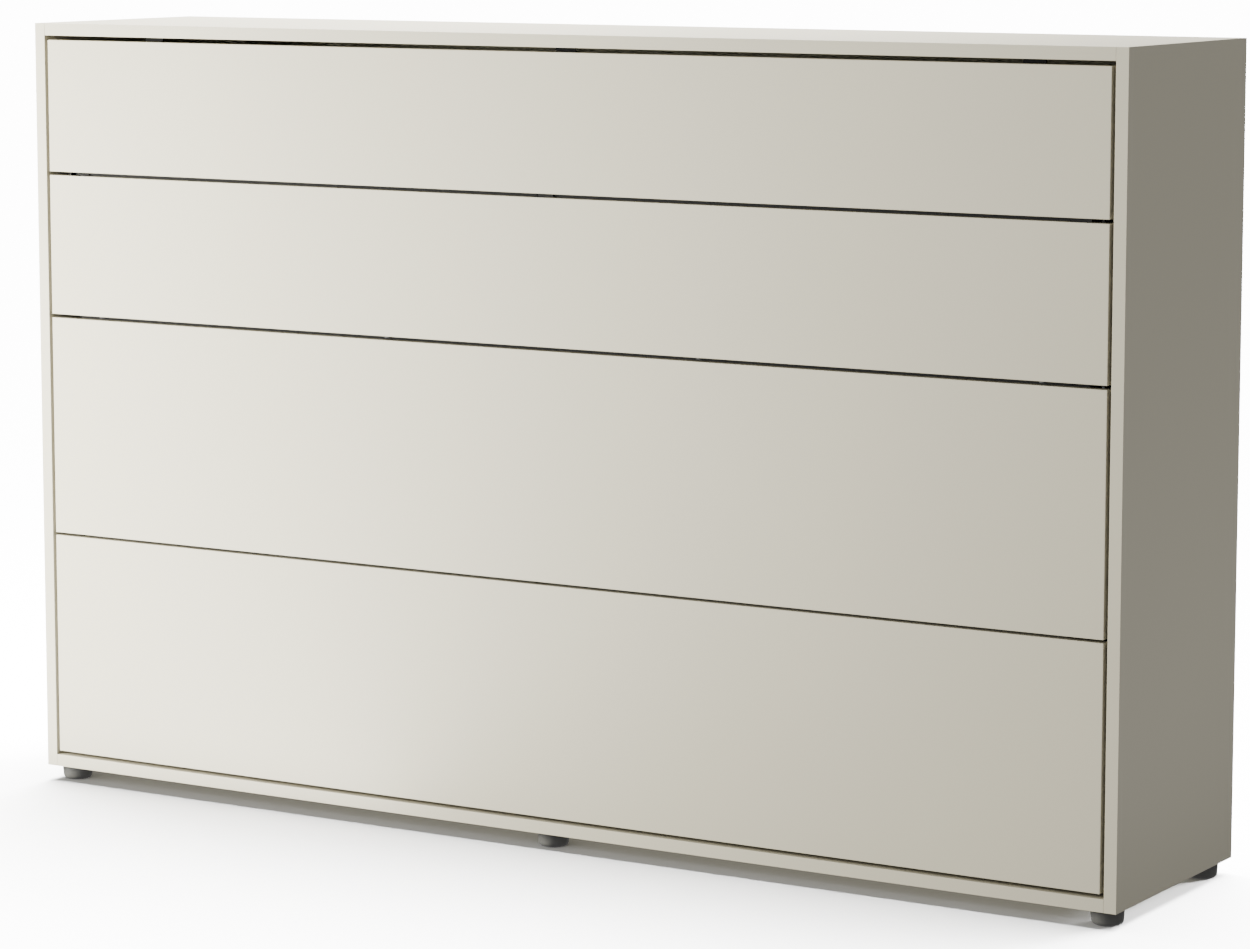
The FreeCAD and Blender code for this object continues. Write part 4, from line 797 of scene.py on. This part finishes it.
# %% One slat holder
HOLDER_WIDTH = 0.062
HOLDER_WALL = 0.0033
HOLDER_PLAY = 0.0003
HOLDER_RIM = 0.002
HOLDER_RIM_STEPS = 2
HOLDER_OVERLAP = 0.017
GROOVE_PLACES = (-0.0165, -0.0055, 0.0055, 0.0165)
GROOVE_WIDTH = 0.003
GROOVE_DEPTH = 0.0008
ALONG_NORMAL = 0.9

holder_low, holder_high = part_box("slat_holders")
rail_low, rail_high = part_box("bed_bottom_rail")
holder_depth = holder_high.y - holder_low.y
holder_tall = 2 * ((rail_high.z + rail_low.z) / 2 - holder_low.z)


def outer_rim(a, b):
    """The rims of the holder's back and the corners that run from front to back."""
    on_back = min(a.y, b.y) > holder_depth - MERGE_UNDER
    at_side = min(abs(a.x), abs(b.x)) > HOLDER_WIDTH / 2 - MERGE_UNDER
    return on_back or abs(a.y - b.y) > holder_depth / 2 and at_side


def in_groove(centre, normal):
    """The strips of the holder's back that become grooves."""
    on_back = normal.y > ALONG_NORMAL and centre.y > holder_depth - MERGE_UNDER
    return on_back and min(abs(centre.x - groove) for groove in GROOVE_PLACES) < GROOVE_WIDTH / 4


holder = block((HOLDER_WIDTH, holder_depth, holder_tall), (0.0, holder_depth / 2, 0.0))
choose(holder, "FACE", lambda centre, normal: normal.z > ALONG_NORMAL)
bpy.ops.mesh.inset(thickness=HOLDER_WALL)
push(0.0, 0.0, -HOLDER_OVERLAP - HOLDER_PLAY)
choose(holder, "EDGE", outer_rim)
bpy.ops.mesh.bevel(offset=HOLDER_RIM, segments=HOLDER_RIM_STEPS, affect="EDGES")
for groove in GROOVE_PLACES:
    for edge_x in (groove - GROOVE_WIDTH / 2, groove + GROOVE_WIDTH / 2):
        bpy.ops.mesh.select_all(action="SELECT")
        bpy.ops.mesh.bisect(plane_co=(edge_x, 0.0, 0.0), plane_no=(1.0, 0.0, 0.0))
choose(holder, "FACE", in_groove)
push(0.0, -GROOVE_DEPTH, 0.0)
close_mesh(holder)
print("a holder of", len(holder.data.polygons), "faces")

# %% [markdown]
# There are two rows of holders, one on each long rail. A second holder could be modelled for
# the top rail, but a copy that is turned half round has its mouth towards the middle of the bed
# as well, and the two rows stay alike.

# %% Rows of slat holders
half_turn = Matrix.Rotation(math.pi, 4, "Y")
low_row = holder_low.z + holder_tall / 2
high_row = holder_high.z - holder_tall / 2
holder_places = [Matrix.Translation((x, holder_low.y, low_row)) for x in slat_xs]
holder_places += [Matrix.Translation((x, holder_low.y, high_row)) @ half_turn for x in slat_xs]
holders = spread_copies(holder, holder_places)
stand_for(holders, "grooved_slat_holders", "slat_holders")

# %% [markdown]
# Screws. Each has a domed or a countersunk head with a cross recess, and a shank that nobody
# sees but that closes the mesh. The cross is a small cube with its four sides drawn out, taken
# away by a Boolean. The shares below give the shape of the head and the tip for any size.

# %% Two kinds of screw
CROSS_WIDE = 0.22
CROSS_LONG = 0.62
CROSS_DEEP = 0.7
TIP_SHARE = 0.3
DOME_SHARES = ((1.0, 0.35), (0.9, 0.72), (0.7, 0.93), (0.45, 1.0))
SUNK_RIM_SHARE = 0.1


def cross_tool(radius, top, deep):
    """A cross-shaped cutter that reaches deep below a head's top."""
    wide = radius * CROSS_WIDE
    tool = block((wide, wide, 2 * deep), (0.0, 0.0, top))
    choose(tool, "FACE", lambda centre, normal: abs(normal.z) < ALONG_NORMAL)
    arm = radius * CROSS_LONG - wide / 2
    bpy.ops.mesh.extrude_faces_move(TRANSFORM_OT_shrink_fatten={"value": arm})
    bpy.ops.object.mode_set(mode="OBJECT")
    return tool


def screw_tip(radius, length):
    """The pointed end of a shank."""
    return [(radius * TIP_SHARE, -length), (radius, -length + 2 * radius)]


def domed_screw(head_radius, head, shank_radius, shank):
    """A screw along Z whose head sits on the plane z = 0."""
    steps = screw_tip(shank_radius, shank) + [(shank_radius, 0.0), (head_radius, 0.0)]
    steps += [(head_radius * wide, head * high) for wide, high in DOME_SHARES]
    cross = (head_radius, head, head * CROSS_DEEP)
    return close_mesh(combine(turned(steps), cross_tool(*cross), "DIFFERENCE"))


def sunk_screw(head_radius, head, shank_radius, shank):
    """A countersunk screw along Z whose flat head is flush with the plane z = 0."""
    steps = screw_tip(shank_radius, shank) + [(shank_radius, -head)]
    steps += [(head_radius, -head * SUNK_RIM_SHARE), (head_radius, 0.0)]
    cross = (head_radius, 0.0, head * CROSS_DEEP)
    return close_mesh(combine(turned(steps), cross_tool(*cross), "DIFFERENCE"))


print("domed heads have", len(DOME_SHARES), "rings")

# %% [markdown]
# The screws of the back. A seat is a place and the way a head faces. No two screws on real
# furniture stop at the same angle, so each copy is turned by one step more than the last. A
# screw's four sizes are its head's radius and height and its shank's radius and length.

# %% Back screws
TURN_STEP = 0.7
LEFT_WAY = (-1.0, 0.0, 0.0)
RIGHT_WAY = (1.0, 0.0, 0.0)
FRONT_WAY = (0.0, -1.0, 0.0)
BACK_WAY = (0.0, 1.0, 0.0)
UP = (0.0, 0.0, 1.0)
DOWN = (0.0, 0.0, -1.0)
BACK_SCREW = (0.0035, 0.0015, 0.0015, 0.017)
INNER_HALF = 1.063
BACK_SHARES = (-0.94, -0.7, -0.47, -0.14, 0.14, 0.47, 0.7, 0.94)
BACK_ROWS = (1.253, 0.075)
BACK_EDGE_X = 1.069
BACK_EDGE_ROWS = (0.382, 0.714, 1.046)


def seated(fixing, seats):
    """Copies of a fixing at seats, each a place and the way its head faces."""
    places = [facing(place, way, TURN_STEP * index) for index, (place, way) in enumerate(seats)]
    return spread_copies(fixing, places)


back_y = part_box("back_panels")[1].y
seats = [((INNER_HALF * share, back_y, z), BACK_WAY) for share in BACK_SHARES for z in BACK_ROWS]
seats += [((side * BACK_EDGE_X, back_y, z), BACK_WAY) for side in (-1, 1) for z in BACK_EDGE_ROWS]
back_screws = seated(domed_screw(*BACK_SCREW), seats)
stand_for(back_screws, "crossed_back_screws", "back_panel_screws")

# %% [markdown]
# The screws of the bed. Long ones go through the tubes into the front boards, and short ones
# hold the hinge arms to the uprights and the hinge blocks and horns to the leg. All are the same
# domed screw in three sizes, so only their seats are new.

# %% Bed and leg screws
BOARD_SCREW = (0.005, 0.0022, 0.0025, 0.062)
FRAME_REAR_Y = -0.162
RAIL_SCREW_XS = (-0.968, -0.018, 0.018, 0.968)
RAIL_SCREW_ROWS = (1.320, 0.090)
UPRIGHT_XS = (-1.0, 0.0, 1.0)
UPRIGHT_SCREW_ROWS = (1.1675, 0.8285, 0.50325, 0.42625)
seats = [((x, FRAME_REAR_Y, z), BACK_WAY) for x in RAIL_SCREW_XS for z in RAIL_SCREW_ROWS]
seats += [((x, FRAME_REAR_Y, z), BACK_WAY) for x in UPRIGHT_XS for z in UPRIGHT_SCREW_ROWS]
board_screws = seated(domed_screw(*BOARD_SCREW), seats)
stand_for(board_screws, "crossed_board_screws", "front_board_screws")

HINGE_SCREW = (0.004, 0.0022, 0.002, 0.015)
HINGE_Z = 1.1145
HINGE_SCREW_Y = -0.205
HINGE_RISES = (0.0238, -0.028)
seats = [((x, HINGE_SCREW_Y, HINGE_Z + rise), FRONT_WAY) for x in UPRIGHT_XS for rise in HINGE_RISES]
hinge_screws = seated(domed_screw(*HINGE_SCREW), seats)
stand_for(hinge_screws, "crossed_hinge_screws", "hinge_arm_screws")

LEG_SCREW = (0.004, 0.0022, 0.002, 0.014)
LEG_SCREW_Z = 1.0835
LEG_SCREW_STEPS = (-0.012, 0.012)
WING_SEAT_Y = -0.210
HORN_SEAT_Y = -0.209
HORN_SCREW_X = 1.044
HORN_SCREW_ROWS = (1.07925, 1.05275)
seats = [((x + step, WING_SEAT_Y, LEG_SCREW_Z), BACK_WAY) for x in UPRIGHT_XS for step in LEG_SCREW_STEPS]
seats += [((side * HORN_SCREW_X, HORN_SEAT_Y, z), BACK_WAY) for side in (-1, 1) for z in HORN_SCREW_ROWS]
leg_screws = seated(domed_screw(*LEG_SCREW), seats)
stand_for(leg_screws, "crossed_leg_screws", "leg_screws")

# %% [markdown]
# The bracket screws. The brackets on the cabinet's sides are held by countersunk screws, whose
# flush heads leave room for what swings past. The closing stops under the top panel have domed
# ones, so that set is two kinds joined.

# %% Bracket screws
BRACKET_SCREW = HINGE_SCREW
BRACKET_X = 1.060
PIVOT_SCREWS = [(y, z) for y in (-0.204, -0.140) for z in (0.252, 0.340)]
STRUT_SCREWS = [(y, z) for y in (0.0402, 0.0798) for z in (0.6242, 0.6638)]
STOP_XS = (-0.881, 0.0, 0.881)
STOP_SCREW_Y = -0.114
STOP_SCREW_STEPS = (-0.010, 0.010)
STOP_UNDER = 1.375

bracket_seats = [((side * BRACKET_X, y, z), inward) for side, inward in ((-1, RIGHT_WAY), (1, LEFT_WAY))
                 for y, z in PIVOT_SCREWS + STRUT_SCREWS]
stop_seats = [((x + step, STOP_SCREW_Y, STOP_UNDER), DOWN) for x in STOP_XS for step in STOP_SCREW_STEPS]
sunk = seated(sunk_screw(*BRACKET_SCREW), bracket_seats)
domed = seated(domed_screw(*BRACKET_SCREW), stop_seats)
stand_for(joined(sunk, domed), "crossed_bracket_screws", "bracket_screws")

# %% [markdown]
# The cam locks. They are the round metal drums that draw two boards together, flush with the
# board's face. A bare cylinder would look like a coin, so the drum is turned with a step inside
# its rim and then cut by the same kind of cross as the screws.

# %% Cam locks
CAM_RADIUS = 0.0075
CAM_DEPTH = 0.0146
CAM_RIM = 0.0009
CAM_SINK = 0.0006
CAM_CROSS = 0.003
CAM_X = 1.029
PANEL_CAM_YS = (-0.1, 0.1)
PANEL_CAM_ZS = (0.028, 1.378)
RAIL_CAM_Y = 0.2035
RAIL_CAM_ZS = (1.2655, 0.075)

cam_inner = CAM_RADIUS - CAM_RIM - CAM_SINK
cam = turned([(CAM_RADIUS, -CAM_DEPTH), (CAM_RADIUS, -CAM_SINK), (CAM_RADIUS - CAM_SINK, 0.0),
              (cam_inner, 0.0), (cam_inner, -CAM_SINK)])
cam = close_mesh(combine(cam, cross_tool(CAM_RADIUS, -CAM_SINK, CAM_CROSS), "DIFFERENCE"))
seats = [((side * CAM_X, y, z), DOWN) for side in (-1, 1) for y in PANEL_CAM_YS for z in PANEL_CAM_ZS]
seats += [((side * CAM_X, RAIL_CAM_Y, z), FRONT_WAY) for side in (-1, 1) for z in RAIL_CAM_ZS]
stand_for(seated(cam, seats), "crossed_cam_locks", "cam_locks")

# %% [markdown]
# Hexagon bolts hold the tubes and the plates together. A six-sided cylinder alone looks like
# a pencil end. A real head is turned on top, which cuts the six corners in small arcs: that is
# a Boolean intersection with a flat cone. Under the head lies a washer.

# %% A hexagon bolt
HEX_SIDES = 6
HEX_RADIUS = 0.007
HEX_HEIGHT = 0.005
CONE_SIDES = 36
CHAMFER_RADIUS = 0.0062
CHAMFER_SLOPE = 1.73
WASHER_RADIUS = 0.0088
WASHER_HEIGHT = 0.0011
WASHER_RIM_HIGH = 0.8
WASHER_RIM_WIDE = 0.97
BOLT_TIP_WIDE = 0.8
BOLT_TIP_LONG = 0.4


def hex_bolt(radius, length):
    """A bolt along Z whose washer lies on the plane z = 0."""
    bolt = turned([(HEX_RADIUS, WASHER_HEIGHT / 2), (HEX_RADIUS, HEX_HEIGHT)], HEX_SIDES)
    cone_foot = CHAMFER_RADIUS + HEX_HEIGHT * CHAMFER_SLOPE
    combine(bolt, turned([(cone_foot, 0.0), (CHAMFER_RADIUS, HEX_HEIGHT)], CONE_SIDES), "INTERSECT")
    washer = turned([(radius * BOLT_TIP_WIDE, -length), (radius, -length + radius * BOLT_TIP_LONG),
                     (radius, 0.0), (WASHER_RADIUS, 0.0),
                     (WASHER_RADIUS, WASHER_HEIGHT * WASHER_RIM_HIGH),
                     (WASHER_RADIUS * WASHER_RIM_WIDE, WASHER_HEIGHT)])
    return close_mesh(combine(bolt, washer, "UNION"))


print("bolt heads", 2 * HEX_RADIUS, "m across their corners")

# %% [markdown]
# The bolts of the frame and of its plates. Where two cross rails meet at the centre upright, a
# plain stud inside them takes the place of a bolt, so that set is two kinds joined.

# %% Frame and plate bolts
FRAME_BOLT = (0.004, 0.064)
FRAME_MID_Y = -0.182
FRAME_HALF = 1.015
FRAME_ENDS = ((1.335, UP), (0.075, DOWN))
SIDE_WAYS = ((-1, LEFT_WAY), (1, RIGHT_WAY))
SIDE_BOLTS = ((-0.187, 0.46475), (FRAME_MID_Y, 0.86775), (FRAME_MID_Y, 1.12825))
STUD_STEPS = [(0.0034, -0.054), (0.004, -0.053), (0.004, 0.053), (0.0034, 0.054)]
seats = [((x, FRAME_MID_Y, z), way) for z, way in FRAME_ENDS for x in UPRIGHT_XS]
seats += [((side * FRAME_HALF, y, z), way) for side, way in SIDE_WAYS for y, z in SIDE_BOLTS]
stud_seats = [((0.0, y, z), RIGHT_WAY) for y, z in SIDE_BOLTS]
bolts = seated(hex_bolt(*FRAME_BOLT), seats)
studs = seated(close_mesh(turned(STUD_STEPS)), stud_seats)
stand_for(joined(bolts, studs), "washer_frame_bolts", "frame_bolts")

PLATE_BOLT = (0.003, 0.016)
BEARING_PLATE = 0.008
STUD_PLATE = 0.006
PLATE_ROWS = ((BEARING_PLATE, 0.312), (BEARING_PLATE, 0.240), (STUD_PLATE, 0.11868), (STUD_PLATE, 0.1392))
seats = [((side * (FRAME_HALF + plate), FRAME_MID_Y, z), way) for side, way in SIDE_WAYS
         for plate, z in PLATE_ROWS]
plate_bolts = seated(hex_bolt(*PLATE_BOLT), seats)
stand_for(plate_bolts, "washer_plate_bolts", "plate_bolts")

# %% [markdown]
# Rubber pads. The buffers that the closed bed leans on, the bumpers behind the flap and the
# glides on the leg are soft discs with rounded rims and a stem that is pushed into a hole. A
# Bevel modifier could round the rims; here four rings of the turned outline give the shape
# directly. A pad's four sizes are its radius and height and its stem's radius and length.

# %% Rubber pads
STEM_TIP_WIDE = 0.7
STEM_TIP_LONG = 0.3
PAD_SHARES = ((1.0, 0.62), (0.96, 0.85), (0.86, 0.97), (0.7, 1.0))
BUFFER = (0.0065, 0.0197, 0.003, 0.004)
BUFFER_SEAT = (-0.142, 1.320)
BUMPER = (0.008, 0.0097, 0.003, 0.003)
BUMPER_SEAT = (-0.202, 0.893)
GLIDE = (0.008, 0.003, 0.003, 0.014)
GLIDE_SEAT = (-0.221, 0.871)
GLIDE_FAR_X = 0.943
GLIDE_XS = [GLIDE_FAR_X * share for share in (-1.0, -1.0 / 3.0, 1.0 / 3.0, 1.0)]


def rubber_pad(radius, height, stem_radius, stem):
    """A pad along Z that sits on the plane z = 0, with its stem below."""
    steps = [(stem_radius * STEM_TIP_WIDE, -stem), (stem_radius, -stem + stem_radius * STEM_TIP_LONG),
             (stem_radius, 0.0), (radius, 0.0)]
    return close_mesh(turned(steps + [(radius * wide, height * high) for wide, high in PAD_SHARES]))


buffers = seated(rubber_pad(*BUFFER), [((x, *BUFFER_SEAT), FRONT_WAY) for x in STOP_XS])
stand_for(buffers, "rounded_stop_buffers", "stop_buffers")
bumpers = seated(rubber_pad(*BUMPER), [((x, *BUMPER_SEAT), FRONT_WAY) for x in UPRIGHT_XS])
stand_for(bumpers, "rounded_leg_bumpers", "leg_bumpers")
glides = seated(rubber_pad(*GLIDE), [((x, *GLIDE_SEAT), DOWN) for x in GLIDE_XS])
stand_for(glides, "rounded_leg_glides", "leg_glides")

# %% [markdown]
# The gas springs. A gas spring is a painted tube whose end is rolled in over the rod's guide,
# which leaves a groove, and a bright rod that slides in it. Both are turned pieces, and each
# has an eye across its end. The tube's steps go up its outside, over the rolled end and back
# down its bore; the rod's go from the piston along the rod to the socket at its foot.

# %% A tube and a rod
STRUT_TOP = Vector((0.0, 0.060, 0.644))
STRUT_FOOT = Vector((0.0, -0.192, 0.096))
STRUT_SIDES = 32
EYE_RIM_SHARE = 0.12
# An eye is its radius, its width and the radius of its hole.
TUBE_EYE = (0.011, 0.012, 0.00505)
ROD_EYE = (0.009, 0.018, 0.0)
TUBE_STEPS = [
    (0.006, 0.008), (0.006, 0.024), (0.0085, 0.0265), (0.0105, 0.0285), (0.011, 0.031), (0.011, 0.333),
    (0.0103, 0.3345), (0.0099, 0.3362), (0.0103, 0.3379), (0.011, 0.3394), (0.011, 0.346),
    (0.0105, 0.3488), (0.0095, 0.350), (0.0066, 0.350), (0.0062, 0.3475), (0.0052, 0.3475),
    (0.0052, 0.338), (0.009, 0.338), (0.009, 0.042)]
PISTON_STEPS = [(0.0088, 0.284), (0.0088, 0.300), (0.005, 0.300)]
SOCKET_STEPS = [(0.005, 0.027), (0.0042, 0.0262), (0.0042, 0.0245), (0.006, 0.0238), (0.006, 0.005)]

strut_way = STRUT_FOOT - STRUT_TOP
strut_long = strut_way.length


def eye(radius, wide, hole, height):
    """A short round boss along X, centred on the line at a height, with a hole if hole isn't 0."""
    rim = wide * EYE_RIM_SHARE
    half = wide / 2
    boss = turned([(radius - rim, -half), (radius, -half + rim), (radius, half - rim), (radius - rim, half)])
    if hole:
        combine(boss, turned([(hole, -wide), (hole, wide)]), "DIFFERENCE")
    boss.matrix_world = Matrix.Translation((0.0, 0.0, height)) @ Matrix.Rotation(math.pi / 2, 4, "Y")
    pick(boss)
    return settle()


rod_steps = PISTON_STEPS + [(radius, strut_long - before) for radius, before in SOCKET_STEPS]
tube = close_mesh(combine(turned(TUBE_STEPS, STRUT_SIDES), eye(*TUBE_EYE, 0.0), "UNION"))
rod = close_mesh(combine(turned(rod_steps, STRUT_SIDES), eye(*ROD_EYE, strut_long), "UNION"))
print("a gas spring", round(strut_long, 4), "m from eye to eye")

# %% [markdown]
# One gas spring lies on each side of the bed, along the line from its bracket on the cabinet
# down to the bed's stud. The tube rides on one body and the rod on another, so that the rod
# slides into the tube when the bed comes down.

# %% Gas springs
STRUT_X = 1.0445
for side, x in (("left", -STRUT_X), ("right", STRUT_X)):
    place = facing(STRUT_TOP + Vector((x, 0.0, 0.0)), strut_way, 0.0)
    own_tube = spread_copies(tube.copy(), [place])
    own_rod = spread_copies(rod.copy(), [place])
    stand_for(own_tube, side + "_rolled_spring_tube", side + "_gas_spring_cylinder")
    stand_for(own_rod, side + "_socketed_spring_rod", side + "_gas_spring_rod")
for pattern in (tube, rod):
    bpy.data.objects.remove(pattern)

# %% [markdown]
# The floor. The cabinet stands on a plain pale floor. A white floor would throw a lot of light
# back on to the shaded side, so this one doesn't take part in bounced light.

# %% Floor
FLOOR_SIZE = 240.0
FLOOR_TONE = (0.92, 0.92, 0.92, 1.0)
bpy.ops.object.select_all(action="DESELECT")
bpy.ops.mesh.primitive_plane_add(size=FLOOR_SIZE, location=(0.0, 0.0, 0.0))
floor = bpy.context.object
floor.name = "floor"
floor.visible_diffuse = False
floor.visible_glossy = False
pale = Finish("pale_floor")
pale.set(Base_Color=FLOOR_TONE, Roughness=0.9, Specular_IOR_Level=0.1)
floor.data.materials.append(pale.material)
print("floor of", FLOOR_SIZE, "metres")

# %% [markdown]
# The lights on the cabinet. A studio shot of a pale cabinet needs a tall soft light near the
# left end, so that the front fades from left to right, and one above the left end, so that the
# top fades too. A dim one in front fills the far end of the front. Two dim lights that lie on
# the floor and look up stand for the little light that the floor throws back, and a dim sky
# keeps the shaded side from black. Light linking keeps the light at the left end off the floor,
# where it would brighten the shadow under the cabinet.

# %% Light on the cabinet
SKY = 0.345
WARM = (1.0, 0.975, 0.865)
WHITE = (1.0, 1.0, 1.0)
# A light is its place, the point it looks at, its two sizes, its power and its colour.
LEFT_LIGHT = ((-2.35, -1.70, 0.95), (-0.1, -0.23, 0.62), (0.9, 1.4), 243.0, WARM)
FRONT_LIGHT = ((-0.1, -3.8, 2.0), (-0.1, 0.0, 0.7), (2.2, 1.4), 40.0, WHITE)
TOP_LIGHT = ((-1.18, 0.35, 3.8), (-0.62, 0.0, 1.4), (1.2, 1.2), 450.0, WHITE)
RIGHT_BOUNCE = ((2.15, -0.1, 0.004), (2.15, -0.1, 1.0), (1.5, 1.8), 3.0, WHITE)
LEFT_BOUNCE = ((-1.1, -1.0, 0.004), (-1.1, -1.0, 1.0), (1.6, 1.4), 40.0, WHITE)


def soft_light(place, aim, size, power, colour):
    """A rectangle that glows, turned towards a point."""
    bpy.ops.object.light_add(type="AREA", location=place)
    lamp = bpy.context.object
    lamp.data.shape = "RECTANGLE"
    lamp.data.size, lamp.data.size_y = size
    lamp.data.energy = power
    lamp.data.color = colour
    lamp.rotation_euler = (Vector(aim) - Vector(place)).to_track_quat("-Z", "Y").to_euler()
    lamp.visible_camera = False
    return lamp


def link_floor(lamp, name, state):
    """Lets a light reach the floor alone (INCLUDE) or all but the floor (EXCLUDE)."""
    reach = bpy.data.collections.new(name)
    reach.objects.link(floor)
    reach.collection_objects[0].light_linking.link_state = state
    lamp.light_linking.receiver_collection = reach


link_floor(soft_light(*LEFT_LIGHT), "all_but_floor", "EXCLUDE")
for light in (FRONT_LIGHT, TOP_LIGHT, RIGHT_BOUNCE, LEFT_BOUNCE):
    soft_light(*light)
world = bpy.data.worlds.new("studio")
world.use_nodes = True
sky = world.node_tree.nodes["Background"]
sky.inputs["Color"].default_value = WHITE + (1.0,)
sky.inputs["Strength"].default_value = SKY
bpy.context.scene.world = world
print("five soft lights and a sky")

# %% [markdown]
# The lights on the floor. It has two far lights of its own: a wide one from above that whitens
# it and leaves a soft shadow in front, and a low one from behind on the right that reaches
# under the side. Light linking keeps both off the cabinet.

# %% Light on the floor
# A far light is its direction, its strength and the angle it fills in degrees.
FLOOR_WHITENER = ((0.05, -0.38, -1.0), 46.0, 60.0)
UNDER_SIDE = ((-0.5, -1.0, -0.25), 23.0, 16.0)
ABOVE = (0.0, 0.0, 5.0)


def floor_light(direction, strength, angle):
    """Light from far away on the floor alone; a wide angle makes its shadows soft."""
    bpy.ops.object.light_add(type="SUN", location=ABOVE)
    lamp = bpy.context.object
    lamp.data.energy = strength
    lamp.data.angle = math.radians(angle)
    lamp.rotation_euler = Vector(direction).to_track_quat("-Z", "Y").to_euler()
    link_floor(lamp, "floor_alone", "INCLUDE")


floor_light(*FLOOR_WHITENER)
floor_light(*UNDER_SIDE)
print("two lights on the floor alone")
